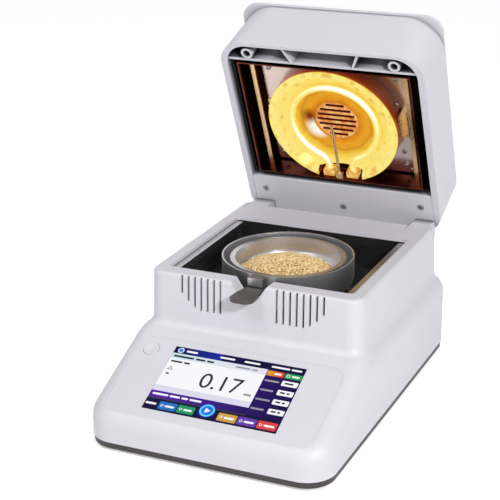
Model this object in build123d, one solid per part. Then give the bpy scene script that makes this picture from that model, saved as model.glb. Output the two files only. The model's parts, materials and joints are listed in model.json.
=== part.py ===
# A halogen moisture analyzer: a weighing chamber with a heater lid that swings up
# behind it, and a sloped touch panel in front. Millimetres, +Z up, +X to the right.
# The pan's centre is at x = 0, y = 0 until the last step, which moves the whole
# object so that its origin is the centre of its footprint, on the bench.

import os
from math import acos, atan2, cos, degrees, hypot, radians, sin, sqrt, tan

from build123d import *

# Running and seating clearances
fit_gap = 0.3
slide_gap = 0.4
bore_gap = 0.05
seam_gap = 0.2

# Feet and bottom tray
foot_radius = 11.0
foot_height = 6.0
foot_recess = 3.0
foot_inset = 26.0
tray_floor = 2.5
tray_height = 5.0
tray_inset = 0.8
tray_wall = 2.0

# Lower body
wall = 2.6
base_width = 194.9
panel_run = 93.9
base_front_corner = 22.7
shoulder_height = 68.0
shoulder_round = 14.0
crest_round = 40.0
ledge = 7.95
panel_angle = 22.6
panel_front_run = 43.8
panel_centre_z = 47.8

# Upper housing
deck_height = 110.7
housing_front = 73.5
housing_rear = 118.0
housing_front_corner = 13.0
housing_rear_corner = 10.0
draft_angle = 2.0
deck_round = 3.0
root_round = 7.0
hinge_room = 15.0
deck_roll = 11.0
roll_drop = 10.7
housing_root = 6.0

# Weighing chamber
chamber_side_wall = 13.35
chamber_front_wall = 15.9
chamber_rear_wall = 47.2
chamber_corner = 3.0
chamber_depth = 30.7
liner_sheet = 0.8
liner_flange = 5.0
rail_width = 6.0
rail_height = 9.0
rail_sheet = 1.2
plate_sheet = 1.2
plate_margin = 1.0
shield_gap = 4.0
shield_margin = 8.0
shield_post_radius = 3.0

# Handle notch in the front wall
notch_top_half = 14.5
notch_bottom_half = 7.5
notch_depth = 10.7
notch_flare = 1.5
notch_x = -3.0
notch_block_half = 26.0
notch_block_depth = 18.0

# Vent slots
slot_width = 1.8
slot_pitch = 5.45
slot_from_notch = 23.45
slot_count = 8
slot_top_gap = 0.8
slot_height = 26.9
slot_straight = 4
slot_arch_height = 12.5
slot_arch_power = 1.55
groove_depth = 0.8
groove_top_gap = 3.3
groove_height = 25.4
groove_arch = 10.0
groove_count = 9
groove_group_starts = (-48.0, 38.0)

# Screen
screen_width = 106.4
screen_height = 63.6
screen_border = 0.8
glass_border_v = 0.6
glass_sheet = 2.2
glass_recess = 0.4
panel_dip = 0.4
field_half = 84.0
field_top = 38.5
field_reach = 60.0
field_corner = 12.0
module_margin = 3.0
module_thickness = 4.0
bracket_sheet = 1.6
bracket_post = 4.0
bracket_end_gap = 6.0
bracket_post_gap = 10.0
bracket_rim_x = 12.0
bracket_rim_y = 15.0

# Power key
key_x = -72.9
key_up = 25.6
key_radius = 6.4
key_travel = 0.8
key_flange = 1.2
key_flange_sheet = 1.0
key_proud = 0.1
key_edge = 0.3
key_dish_radius = 22.0
key_dish_depth = 0.5
key_stem_radius = 1.8
key_board_width = 17.0
key_board_length = 25.0
key_post_radius = 1.6
board_sheet = 1.6
tact_size = 6.2
tact_height = 3.0
tact_gap = 0.1

# Lid, described closed: its datum is where the heater opening ends at the hinge side
lid_open_angle = 66.1
lid_datum_inset = 45.0
lid_side_step = 1.5
lid_front_step = 3.5
lid_rear_step = 8.0
lid_front_corner = 21.0
lid_top_corner = 31.0
lid_rear_corner = 14.0
lid_rear_height = 54.0
lid_front_height = 60.0
lip_thickness = 6.0
lip_overhang = 1.5
lip_corner = 15.0
lid_top_round = 4.5
lid_roof_depth = 48.0
lid_overrun = 40.0
opening_side_wall = 5.6
pocket_run = 15.3
pocket_front_wall = 2.7
pocket_corner = 19.0
divider_sheet = 2.2
rim_recess = 2.0
opening_wall = 3.0
pocket_rib_sheet = 2.0
pocket_rib_recess = 1.0
pocket_rib_left_x = -24.1
pocket_rib_left_lean = -8.0
pocket_rib_right_x = 27.6
pocket_rib_right_lean = 6.4
boss_side_gap = 18.9
boss_end_gap = 7.7
boss_radius = 5.0
boss_bore = 3.0

# Hinge
hinge_rear_gap = 5.4
hinge_drop = 20.9
knuckle_width = 16.6
knuckle_side_step = 5.4
knuckle_side_gap = 0.5
knuckle_hub = 14.0
knuckle_reach = 25.5
knuckle_gap = 0.5
knuckle_front_reach = 15.3
knuckle_front_gap = 0.4
knuckle_top_gap = 0.5
knuckle_floor_drop = 15.2
knuckle_wall = 2.6
knuckle_foot_reach = 12.9
knuckle_foot_clear = 2.0
pin_radius = 4.0
pin_reach_in = 9.0
pin_reach_out = 2.8
bush_wall = 2.0
hinge_plate_sheet = 3.2
hinge_plate_half = 12.0

# Cover strip over the hinge side of the lid
strip_sheet = 2.4
strip_end_gap = 1.4
strip_screw_inset = 10.9
strip_screw_setback = 13.0
strip_mid_screw_setback = 24.0
screw_head_radius = 3.2
screw_shank_radius = 1.6
screw_length = 11.0
strip_boss_radius = 4.2
strip_hollow_margin = 4.4
strip_hollow_mid_gap = 4.0
strip_hollow_rear_gap = 2.8

# Heater in the lid; "along" runs from the hinge side to the free end
heater_side_gap = 7.4
heater_start = 5.0
heater_end_gap = 3.0
heater_depth = 35.0
heater_sheet = 1.0
liner_side_gap = 0.9
lid_liner_start_depth = 7.0
lid_liner_sheet = 1.0
lamp_offset = 3.5
plate_depth = 20.0
plate_side_gap = 5.0
plate_end_gap = 3.0
plate_hole_inset = 7.0
dish_side_gap = 5.0
dish_end_lap = 1.5
dish_depth = 4.6
dish_sheet = 1.0
dish_floor_depth = 16.0
dish_rim_width = 4.0
dish_knee_inset = 11.0
dish_knee_depth = 14.4
dish_slot_half = 20.0
dish_slot_along = 14.0
grille_radius = 19.0
grille_sheet = 1.4
grille_slots = 7
grille_slot_width = 2.6
grille_margin = 1.5
lamp_ring_inset = 8.0
lamp_tube_radius = 2.8
lamp_depth = 10.0
lamp_leg_x = 10.5
lamp_bend_radius = 14.0
lamp_leg_start = 12.0
socket_width = 10.0
socket_length = 6.0
socket_height = 9.0
probe_radius = 1.2
probe_depth = 4.0
probe_past_centre = 4.0
probe_block = 6.0
probe_block_height = 2.8
side_rail_inset = 8.0
side_rail_width = 3.6
side_rail_sheet = 1.6
side_rail_depth = 12.0
plate_screw_radius = 2.2
plate_screw_head = 1.2
plate_screw_inset = 6.0
plate_screw_start_gap = 8.0
plate_screw_end_gap = 13.0
clamp_length = 26.0
clamp_sheet = 1.2
clamp_height = 9.0

# Pan, its carrier and its holder
ring_side_gap = 4.5
ring_rise = 1.3
ring_height = 24.0
ring_sheet = 1.2
ring_curve = 7.0
ring_inner_radius = 30.0
pan_ring_gap = 6.6
pan_drop = 2.1
pan_rim_width = 3.2
pan_depth = 11.9
pan_wall_lean = 4.5
pan_sheet = 0.8
grain_margin = 8.0
grain_height = 9.5
grain_offset = -1.5
carrier_radius = 34.0
carrier_sheet = 2.0
carrier_arm_length = 38.0
carrier_arm_width = 5.0
carrier_hub_radius = 7.0
stem_radius = 5.0
stem_clear = 3.0
strip_width = 12.7
bracket_front_gap = 3.4
bracket_ring_lap = 4.0
bracket_sheet_t = 1.2
bracket_drop = 11.0
bracket_foot_length = 22.0
tab_width = 19.2
tab_rear_half = 7.1
tab_wide_reach = 17.0
tab_side_corner = 10.0
handle_turn = 2.0
tab_round = 0.9
tab_reach = 29.5
tab_back_gap = 1.6
tab_thickness = 2.8
tab_corner = 6.5
rivet_radius = 1.8
rivet_head = 0.5
rivet_first = 6.0
rivet_last = 15.0
load_travel = 0.4
stem_bore_depth = 3.0

# Load cell and boards
cell_width = 24.0
cell_height = 18.0
cell_length = 84.0
cell_front = 14.0
cell_top_z = 60.0
cell_hole_radius = 7.0
cell_hole_spacing = 18.0
pillar_length = 24.0
cell_screw_radius = 2.5
main_board_width = 150.0
main_board_length = 62.0
main_board_y = -52.0
power_board_width = 54.0
power_board_length = 76.0
power_board_x = -50.0
power_board_y = 58.0
standoff_radius = 3.5
standoff_height = 8.0
board_margin = 6.0
transformer_size = 30.0
transformer_height = 24.0
capacitor_radius = 7.0
capacitor_height = 22.0
chip_size = 24.0
chip_height = 3.0
plug_width = 26.0
plug_depth = 8.0
plug_height = 9.0

# Rear connectors
socket_row_z = 32.0
inlet_side = 39.45
inlet_width = 27.0
inlet_height = 20.0
inlet_depth = 22.0
inlet_flange = 3.0
inlet_flange_sheet = 2.0
inlet_cavity_depth = 14.0
fuse_height = 7.0
fuse_proud = 0.6
inlet_wall = 2.0
pin_spread = 7.0
pin_width = 2.0
pin_height = 4.0
switch_x = -18.0
switch_width = 21.0
switch_height = 15.0
switch_bezel = 2.0
switch_body_depth = 14.0
rocker_half_length = 8.4
rocker_half_width = 5.2
rocker_tilt = 8.0
rocker_crown = 1.4
rocker_axis_depth = 1.5
port_x = 44.0
port_width = 31.0
port_height = 12.6
port_shell_width = 17.0
port_shell_height = 8.4
port_shell_depth = 5.8
port_body_depth = 9.0

# Tray screws
tray_screw_side = 13.45
tray_screw_front = 35.4
tray_screw_rear = 21.95
tray_boss_radius = 4.5
tray_screw_head = 3.4
tray_screw_head_height = 1.6

# Worked out from the sizes above: housing and chamber
shell_bottom = foot_height - foot_recess + tray_height
tray_bottom = foot_height - foot_recess
base_half = base_width / 2
base_front = housing_front + panel_run
base_rear = housing_rear + ledge
base_rear_corner = housing_rear_corner + ledge
housing_half_width = base_half - ledge
panel_centre_y = panel_front_run - base_front
panel_slope = tan(radians(panel_angle))
draft_slope = tan(radians(draft_angle))
deck_under_z = deck_height - wall
inner_rear = housing_rear - hinge_room
deck_rear = housing_rear - deck_roll
roll_foot_z = deck_height - roll_drop
chamber_half_width = housing_half_width - chamber_side_wall
chamber_front = housing_front - chamber_front_wall
chamber_rear = housing_rear - chamber_rear_wall
chamber_floor_z = deck_height - chamber_depth
notch_floor_z = deck_height - notch_depth
slot_top_z = deck_height - slot_top_gap
slot_foot_z = slot_top_z - slot_height
groove_top_z = deck_height - groove_top_gap
groove_foot_z = groove_top_z - groove_height
tray_screw_x = base_half - tray_screw_side
tray_screw_front_y = tray_screw_front - base_front
tray_screw_rear_y = base_rear - tray_screw_rear
inlet_x = inlet_side - base_half

# Worked out: lid, hinge and cover strip
lid_datum_y = housing_rear - lid_datum_inset
lid_rim_z = deck_height + fit_gap
lid_half_width = housing_half_width - lid_side_step
lid_front = housing_front - lid_front_step
lid_rear = housing_rear - lid_rear_step
opening_half_width = lid_half_width - opening_side_wall
pocket_length = lid_front + lid_datum_y - pocket_front_wall
opening_length = pocket_length - pocket_run
boss_x = opening_half_width - boss_side_gap
boss_along = pocket_length - boss_end_gap
hinge_y = housing_rear - hinge_rear_gap
hinge_z = deck_height - hinge_drop
knuckle_outer = lid_half_width - knuckle_side_step
knuckle_inner = knuckle_outer - knuckle_width
knuckle_front_y = hinge_y - knuckle_front_reach
knuckle_top_z = deck_height - knuckle_top_gap
knuckle_slot_floor = hinge_z - knuckle_floor_drop
knuckle_foot_y = hinge_y - knuckle_foot_reach
pin_inner = knuckle_inner - pin_reach_in
pin_outer = knuckle_outer + pin_reach_out
strip_end_y = lid_rear - strip_end_gap
strip_screw_x = opening_half_width - strip_screw_inset
strip_screw_y = lid_datum_y + strip_screw_setback
strip_mid_screw_y = lid_datum_y + strip_mid_screw_setback
strip_hollow_half = opening_half_width - strip_hollow_margin
strip_hollow_mid_half = knuckle_inner - strip_hollow_mid_gap
strip_hollow_rear = lid_rear - strip_hollow_rear_gap

# Worked out: heater. The round dish fills the box in its narrower direction.
heater_half_width = opening_half_width - heater_side_gap
heater_end = opening_length - heater_end_gap
side_rail_x = heater_half_width - side_rail_inset
plate_half_width = side_rail_x - plate_side_gap
plate_start = heater_start + plate_end_gap
plate_end = heater_end - plate_end_gap
plate_half_length = (plate_end - plate_start) / 2
lamp_centre_along = plate_start + plate_half_length - lamp_offset
dish_radius = min(plate_half_width - dish_side_gap, plate_half_length + dish_end_lap)
plate_hole_radius = dish_radius - plate_hole_inset
dish_knee_radius = dish_radius - dish_knee_inset
lamp_ring_radius = dish_knee_radius - lamp_ring_inset
probe_tip_along = lamp_centre_along + probe_past_centre
plate_screw_x = plate_half_width - plate_screw_inset
plate_screw_alongs = (plate_start + plate_screw_start_gap, plate_end - plate_screw_end_gap)

# Worked out: pan, holder and handle
ring_radius = chamber_front - ring_side_gap
ring_top_z = deck_height + ring_rise
ring_bottom_z = ring_top_z - ring_height
pan_radius = ring_radius - pan_ring_gap
pan_rim_z = ring_top_z - pan_drop
pan_floor_z = pan_rim_z - pan_depth
pan_floor_radius = pan_radius - pan_wall_lean
grain_radius = pan_floor_radius - grain_margin
bracket_front = chamber_front + bracket_front_gap
bracket_foot_z = ring_top_z - bracket_drop
tab_wide_y = bracket_front + tab_wide_reach
tab_front = bracket_front + tab_reach
tab_back = bracket_front + tab_back_gap

hinge_axis = Axis((0, hinge_y, hinge_z), (1, 0, 0))
panel = Plane(
    origin=(0, panel_centre_y, panel_centre_z),
    x_dir=(1, 0, 0),
    z_dir=(0, -sin(radians(panel_angle)), cos(radians(panel_angle))),
)


def box(x0, x1, y0, y1, z0, z1):
    """A block between two corners."""
    centre = Pos((x0 + x1) / 2, (y0 + y1) / 2, (z0 + z1) / 2)
    return centre * Box(x1 - x0, y1 - y0, z1 - z0)


def rod(radius, start, direction, length):
    """A round bar from a start point along a direction."""
    return extrude(Plane(origin=start, z_dir=direction) * Circle(radius), amount=length)


def both_sides(solid):
    """A solid and its mirror image across the middle plane."""
    return [solid, solid.mirror(Plane.YZ)]


def outline(half_width, front, rear, front_corner, rear_corner):
    """A plan outline with its own corner radius at the front and at the rear."""
    face = Pos(0, (front + rear) / 2) * Rectangle(2 * half_width, rear - front)
    face = fillet(face.vertices().group_by(Axis.Y)[0], front_corner)
    return fillet(face.vertices().group_by(Axis.Y)[-1], rear_corner)


def solids_of(shape):
    """Every separate solid of a shape or of a list of shapes."""
    if isinstance(shape, (list, tuple)):
        return [solid for item in shape for solid in solids_of(item)]
    return list(shape.solids())


def panel_height(y, inset):
    """Height of the sloped front panel, moved inwards by inset."""
    drop = inset / cos(radians(panel_angle))
    return panel_centre_z + panel_slope * (y - panel_centre_y) - drop


def base_block(inset, bottom):
    """The lower body with its sloped panel and rounded shoulder, shrunk by inset."""
    half = base_half - inset
    front = inset - base_front
    rear = base_rear - inset
    top = shoulder_height - inset
    crest = panel_centre_y + (top + inset / cos(radians(panel_angle)) - panel_centre_z) / panel_slope
    side = make_face(
        Polyline(
            (front, bottom),
            (front, panel_height(front, inset)),
            (crest, top),
            (rear, top),
            (rear, bottom),
            close=True,
        )
    )
    crest_point = [v for v in side.vertices() if abs(v.X - crest) < 1 and v.Y > top - 1]
    side = fillet(crest_point, crest_round)
    block = extrude(Plane.YZ * side, amount=half, both=True)
    plan = outline(half, front, rear, base_front_corner - inset, base_rear_corner - inset)
    block = block & extrude(Pos(0, 0, bottom) * plan, amount=shoulder_height)
    shoulder = [
        edge
        for edge in block.edges()
        if edge.center().Z > bottom + 1
        and abs(edge.tangent_at(0.5).Z) < 0.95
        and not (abs(edge.tangent_at(0.5).X) > 0.99 and front + 1 < edge.center().Y < rear - 1)
    ]
    return fillet(shoulder, shoulder_round - inset)


def upper_block(inset, top):
    """The upper housing above the shoulder, narrowing a little towards its deck."""
    foot_z = shoulder_height - housing_root
    plan = outline(
        housing_half_width - inset,
        inset - housing_front,
        housing_rear - inset,
        housing_front_corner - inset,
        housing_rear_corner - inset,
    )
    return extrude(Pos(0, 0, foot_z) * plan, amount=top - foot_z, taper=draft_angle)


def panel_field():
    """The shallow field that the screen and the key lie in, open towards the front."""
    length = field_top + field_reach
    face = Pos(0, field_top - length / 2) * Rectangle(2 * field_half, length)
    face = fillet(face.vertices().group_by(Axis.Y)[-1], field_corner)
    return extrude(panel * Pos(0, 0, -panel_dip) * face, amount=shoulder_round)


def chamber_void(bottom, top, margin):
    """The space of the weighing chamber, grown by margin."""
    plan = outline(
        chamber_half_width + margin,
        -chamber_front - margin,
        chamber_rear + margin,
        chamber_corner + margin,
        chamber_corner + margin,
    )
    return extrude(Pos(0, 0, bottom) * plan, amount=top - bottom)


def notch_void():
    """The V-shaped gap for the pan holder's handle, a little left of the middle and
    wider towards the chamber."""
    outer_y = -housing_front - 2
    inner_y = -chamber_front + liner_sheet + 2
    rise = deck_height + 4 - notch_floor_z
    lean = (notch_top_half - notch_bottom_half) / (deck_height - notch_floor_z)
    faces = []
    for y, extra in ((outer_y, 0), (inner_y, notch_flare)):
        low = notch_bottom_half + extra
        high = low + lean * rise
        section = make_face(Polyline((-low, 0), (low, 0), (high, rise), (-high, rise), close=True))
        place = Plane(origin=(notch_x, y, notch_floor_z), x_dir=(1, 0, 0), z_dir=(0, -1, 0))
        faces.append(place * section)
    return loft(faces)


def front_slots():
    """The vent slots in the front wall, one fewer on the left. Those near the ends are
    shorter, so that their feet follow an arch."""
    slots = []
    for side, count in ((1, slot_count), (-1, slot_count - 1)):
        for step in range(count):
            x = notch_x + side * (slot_from_notch + step * slot_pitch)
            past_straight = step + slot_count - count - slot_straight
            past = max(0, past_straight) / (slot_count - 1 - slot_straight)
            foot = slot_foot_z + slot_arch_height * past**slot_arch_power
            half = slot_width / 2
            face_y = -housing_front
            slots.append(box(x - half, x + half, face_y - 2, face_y + wall + 3, foot, slot_top_z))
    return slots


def side_grooves():
    """The shallow grooves on both side faces, in two groups a side."""
    grooves = []
    for start in groove_group_starts:
        for step in range(groove_count):
            y = start + step * slot_pitch
            from_middle = abs(step - (groove_count - 1) / 2) / ((groove_count - 1) / 2)
            foot = groove_foot_z + groove_arch * from_middle**2
            half = slot_width / 2
            middle_z = (foot + groove_top_z) / 2
            face_x = housing_half_width - draft_slope * (middle_z - shoulder_height + housing_root)
            lean_x = draft_slope * (middle_z - foot)
            place = Pos(face_x + lean_x + 3 - groove_depth, 0, foot)
            outer = place * Rot(0, -draft_angle, 0) * box(0, 4, y - half, y + half, 0, groove_top_z - foot)
            grooves += both_sides(outer)
    return grooves


def tangent_point(point, radius, side):
    """Where a line from a point touches a circle about the origin."""
    distance = hypot(point[0], point[1])
    turn = atan2(point[1], point[0]) + side * acos(radius / distance)
    return (radius * cos(turn), radius * sin(turn))


def open_rim_point(along):
    """A point of the open lid's rim plane, from the hinge axis, in the side view."""
    closed_y = lid_datum_y - along - hinge_y
    closed_z = lid_rim_z - hinge_z
    turn = radians(-lid_open_angle)
    return (
        closed_y * cos(turn) - closed_z * sin(turn),
        closed_y * sin(turn) + closed_z * cos(turn),
    )


def knuckle(x0, x1):
    """One hinge knuckle of the lid, in the open position: a hub with a foot that fills
    the gap in the deck."""
    front_top = (knuckle_front_y + knuckle_front_gap - hinge_y, knuckle_top_z - hinge_z)
    rear_low = open_rim_point(lid_datum_y - lid_rear)
    inner = open_rim_point(lid_datum_y - knuckle_foot_y)
    front_touch = tangent_point(front_top, knuckle_hub, 1)
    rear_touch = tangent_point(rear_low, knuckle_hub, -1)
    foot = make_face(Polyline((0, 0), front_touch, front_top, inner, rear_low, rear_touch, close=True))
    side = foot + Circle(knuckle_hub)
    place = Plane(origin=(x0, hinge_y, hinge_z), x_dir=(0, 1, 0), z_dir=(1, 0, 0))
    return extrude(place * side, amount=x1 - x0)


def knuckle_slot(extra):
    """The gap in the housing that a knuckle turns in, grown by extra."""
    x0 = knuckle_inner - knuckle_side_gap - extra
    length = knuckle_outer + knuckle_side_gap + extra - x0
    drum = rod(knuckle_reach + knuckle_gap + extra, (x0, hinge_y, hinge_z), (1, 0, 0), length)
    floor_z = knuckle_slot_floor - extra
    return drum & box(x0, x0 + length, 0, 2 * housing_rear, floor_z, 2 * deck_height)


def rear_roll():
    """What is taken off the deck's rear edge between the knuckles."""
    half = knuckle_inner - knuckle_side_gap
    side = make_face(
        Polyline(
            (deck_rear, deck_height + 1),
            (deck_rear, deck_height),
            (housing_rear + 1, roll_foot_z),
            (housing_rear + 1, deck_height + 1),
            close=True,
        )
    )
    place = Plane(origin=(-half, 0, 0), x_dir=(0, 1, 0), z_dir=(1, 0, 0))
    return extrude(place * side, amount=2 * half)


def tray_screw_spots():
    """Centres of the screws that hold the tray."""
    return [
        (side * tray_screw_x, y)
        for side in (-1, 1)
        for y in (tray_screw_front_y, tray_screw_rear_y)
    ]


def rear_cutouts():
    """Openings in the rear wall for the inlet, the switch and the port."""
    depth = (base_rear - wall - 4, base_rear + 2)
    cuts = []
    for x, width, height in (
        (inlet_x, inlet_width, inlet_height),
        (switch_x, switch_width, switch_height),
        (port_x, port_shell_width, port_shell_height),
    ):
        half = width / 2 + seam_gap
        rise = height / 2 + seam_gap
        cuts.append(box(x - half, x + half, *depth, socket_row_z - rise, socket_row_z + rise))
    return cuts


def top_housing():
    outer = base_block(0, shell_bottom) + upper_block(0, deck_height)
    root = [
        edge
        for edge in outer.edges()
        if abs(edge.center().X) < 0.01
        and abs(edge.center().Y + housing_front) < 1
        and abs(edge.center().Z - shoulder_height) < 1
    ]
    outer = fillet(root, root_round)
    rim = [e for e in outer.edges() if e.center().Z > deck_height - 0.01]
    outer = fillet(rim, deck_round)
    hollow = base_block(wall, shell_bottom)
    room = upper_block(wall, deck_under_z) & box(
        -base_half, base_half, -housing_front, inner_rear, 0, deck_height
    )
    hollow = hollow + room
    for side in (-1, 1):
        drum = knuckle_slot(knuckle_wall)
        hollow = hollow - (drum if side > 0 else drum.mirror(Plane.YZ))
    notch_block = box(
        notch_x - notch_block_half, notch_x + notch_block_half,
        -housing_front, -chamber_front - liner_sheet,
        deck_height - notch_block_depth, deck_height,
    )
    hollow = hollow - notch_block
    for x, y in tray_screw_spots():
        hollow = hollow - Pos(x, y, shell_bottom) * Cylinder(
            tray_boss_radius, shoulder_height, align=(Align.CENTER, Align.CENTER, Align.MIN)
        )
    shell = outer - hollow
    shell = shell - chamber_void(deck_height - 12, deck_height + 2, liner_sheet)
    shell = shell - notch_void()
    for cut in front_slots() + side_grooves() + rear_cutouts():
        shell = shell - cut
    for slot in both_sides(knuckle_slot(0)):
        shell = shell - slot
    shell = shell - rear_roll()
    for pin_hole in both_sides(
        rod(pin_radius, (pin_inner, hinge_y, hinge_z), (1, 0, 0), pin_outer - pin_inner)
    ):
        shell = shell - pin_hole
    window = panel * Box(
        screen_width + 2 * screen_border + 2 * seam_gap,
        screen_height + 2 * glass_border_v + 2 * seam_gap,
        4 * wall,
    )
    shell = shell - window - panel_field()
    key_hole = panel * Pos(key_x, key_up) * Cylinder(key_radius + fit_gap, 4 * wall)
    shell = shell - key_hole
    flange_room = Cylinder(
        key_radius + key_flange + fit_gap, key_flange_sheet + key_travel,
        align=(Align.CENTER, Align.CENTER, Align.MAX),
    )
    shell = shell - panel * Pos(key_x, key_up, -wall) * flange_room
    for x, y in tray_screw_spots():
        shell = shell - Pos(x, y, shell_bottom - 1) * Cylinder(
            screw_shank_radius, screw_length, align=(Align.CENTER, Align.CENTER, Align.MIN)
        )
    return shell


def bottom_tray():
    """The dark pan that closes the base from below, with its rim inside the shell's edge."""
    plan = outline(
        base_half - tray_inset, tray_inset - base_front, base_rear - tray_inset,
        base_front_corner - tray_inset, base_rear_corner - tray_inset,
    )
    inset = tray_inset + tray_wall
    hollow = outline(
        base_half - inset, inset - base_front, base_rear - inset,
        base_front_corner - inset, base_rear_corner - inset,
    )
    tray = extrude(Pos(0, 0, tray_bottom) * plan, amount=tray_height)
    tray = tray - extrude(Pos(0, 0, tray_bottom + tray_floor) * hollow, amount=tray_height)
    low = (Align.CENTER, Align.CENTER, Align.MIN)
    for x, y in tray_screw_spots():
        tray = tray + Pos(x, y, tray_bottom) * Cylinder(tray_boss_radius, tray_height, align=low)
        tray = tray - Pos(x, y, 0) * Cylinder(screw_shank_radius + slide_gap, deck_height, align=low)
        tray = tray - Pos(x, y, 0) * Cylinder(
            tray_screw_head + slide_gap, tray_bottom + tray_screw_head_height, align=low
        )
    return tray


def foot_spots():
    """Centres of the four feet."""
    x = base_half - foot_inset
    return [(side * x, y) for side in (-1, 1) for y in (foot_inset - base_front, base_rear - foot_inset)]


def rubber_feet():
    low = (Align.CENTER, Align.CENTER, Align.MIN)
    pad = Cylinder(foot_radius, tray_bottom, align=low)
    pad = chamfer(pad.edges().group_by(Axis.Z)[0], 1)
    return [Pos(x, y, 0) * pad for x, y in foot_spots()]


def tray_screws():
    low = (Align.CENTER, Align.CENTER, Align.MIN)
    head = Cylinder(tray_screw_head, tray_screw_head_height, align=low)
    shank = Cylinder(screw_shank_radius - bore_gap, tray_height + screw_length - 2, align=low)
    return [Pos(x, y, tray_bottom) * (head + shank) for x, y in tray_screw_spots()]


def chamber_liner():
    """The black sheet-steel tub of the weighing chamber, hung under the deck."""
    tub = chamber_void(chamber_floor_z, deck_under_z, liner_sheet)
    tub = tub - chamber_void(chamber_floor_z + liner_sheet, deck_under_z + 1, 0)
    flange = chamber_void(deck_under_z - liner_sheet, deck_under_z, liner_flange)
    flange = flange - chamber_void(deck_under_z - 2, deck_under_z + 1, 0)
    front_bar = box(
        -base_half, base_half, -housing_front, -chamber_front - liner_sheet,
        deck_under_z - 3, deck_under_z + 1,
    )
    tub = tub + (flange - front_bar)
    low = (Align.CENTER, Align.CENTER, Align.MIN)
    hole = Pos(0, 0, chamber_floor_z - 1) * Cylinder(stem_radius + stem_clear, 4, align=low)
    return tub - notch_void() - hole


def chamber_rails():
    """The bright steel angles along the left and right edges of the chamber."""
    x1 = chamber_half_width
    y0 = -chamber_front + chamber_corner
    y1 = chamber_rear - chamber_corner
    shelf = box(x1 - rail_width, x1, y0, y1, deck_under_z - rail_sheet, deck_under_z)
    leg = box(x1 - rail_sheet, x1, y0, y1, deck_under_z - rail_height, deck_under_z)
    return both_sides(shelf + leg)


def chamber_plate():
    """The loose dark plate on the chamber's floor."""
    z0 = chamber_floor_z + liner_sheet
    plate = chamber_void(z0, z0 + plate_sheet, -plate_margin)
    low = (Align.CENTER, Align.CENTER, Align.MIN)
    return plate - Pos(0, 0, z0 - 1) * Cylinder(stem_radius + stem_clear, 4, align=low)


def heat_shield():
    """The sheet that keeps the chamber's heat off the electronics."""
    top = chamber_floor_z - shield_gap
    half = chamber_half_width - shield_margin
    y0 = -chamber_front + shield_margin
    y1 = chamber_rear - shield_margin
    sheet = box(-half, half, y0, y1, top - liner_sheet, top)
    low = (Align.CENTER, Align.CENTER, Align.MIN)
    for x in (-half + shield_margin, half - shield_margin):
        for y in (y0 + shield_margin, y1 - shield_margin):
            sheet = sheet + Pos(x, y, top) * Cylinder(shield_post_radius, shield_gap, align=low)
    return sheet - Pos(0, 0, top - 2) * Cylinder(stem_radius + stem_clear, 4, align=low)


def display_glass():
    pane = Box(screen_width + 2 * screen_border, screen_height + 2 * glass_border_v, glass_sheet)
    return panel * Pos(0, 0, -glass_recess - glass_sheet / 2) * pane


def module_half():
    """Half sizes of the screen module behind the glass."""
    return (
        screen_width / 2 + screen_border + module_margin,
        screen_height / 2 + glass_border_v + module_margin,
    )


def lcd_module():
    half_x, half_y = module_half()
    depth = glass_recess + glass_sheet
    block = Box(2 * half_x, 2 * half_y, module_thickness)
    return panel * Pos(0, 0, -depth - module_thickness / 2) * block


def display_bracket():
    """The sheet that holds the screen module up against the housing."""
    half_x, half_y = module_half()
    depth = glass_recess + glass_sheet + module_thickness
    wide = half_x + bracket_post + slide_gap
    sheet = Pos(0, 0, -depth - bracket_sheet / 2) * Box(
        2 * wide, 2 * (half_y - bracket_end_gap), bracket_sheet
    )
    sheet = sheet - Pos(0, 0, -depth - bracket_sheet / 2) * Box(
        2 * (half_x - bracket_rim_x), 2 * (half_y - bracket_rim_y), 2 * bracket_sheet
    )
    rise = depth - wall
    for side in (-1, 1):
        x = side * (half_x + slide_gap + bracket_post / 2)
        post = Box(bracket_post, 2 * (half_y - bracket_post_gap), rise)
        sheet = sheet + Pos(x, 0, -depth + rise / 2) * post
    return panel * sheet


def key_depths():
    """Depths below the panel of the key's flange and of its board."""
    flange_top = wall
    board_top = flange_top + key_flange_sheet + 2 * key_travel + tact_gap + tact_height
    return flange_top, board_top


def power_key():
    """The round key beside the screen, with a shallow dish for the finger."""
    flange_top, board_top = key_depths()
    cap_height = key_proud + flange_top + key_flange_sheet
    cap = Pos(0, 0, key_proud - cap_height / 2) * Cylinder(key_radius, cap_height)
    cap = fillet(cap.edges().group_by(Axis.Z)[-1], key_edge)
    dish = Pos(0, 0, key_proud + key_dish_radius - key_dish_depth) * Sphere(key_dish_radius)
    flange = Pos(0, 0, -flange_top - key_flange_sheet / 2) * Cylinder(
        key_radius + key_flange, key_flange_sheet
    )
    stem_length = key_travel
    stem_top = flange_top + key_flange_sheet
    stem = Pos(0, 0, -stem_top - stem_length / 2) * Cylinder(key_stem_radius, stem_length)
    return panel * Pos(key_x, key_up) * (cap - dish + flange + stem)


def key_board():
    """The small board with the key's switch, on two posts under the panel."""
    flange_top, board_top = key_depths()
    low = -board_top - board_sheet / 2
    board = Pos(0, 0, low) * Box(key_board_width, key_board_length, board_sheet)
    height = board_top - wall
    reach = key_board_length / 2 - key_post_radius
    for up in (-reach, reach):
        board = board + Pos(0, up, -wall - height / 2) * Cylinder(key_post_radius, height)
    return panel * Pos(key_x, key_up) * board


def tact_switch():
    flange_top, board_top = key_depths()
    body = Pos(0, 0, -board_top + tact_height / 2) * Box(tact_size, tact_size, tact_height)
    return panel * Pos(key_x, key_up) * body


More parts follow.
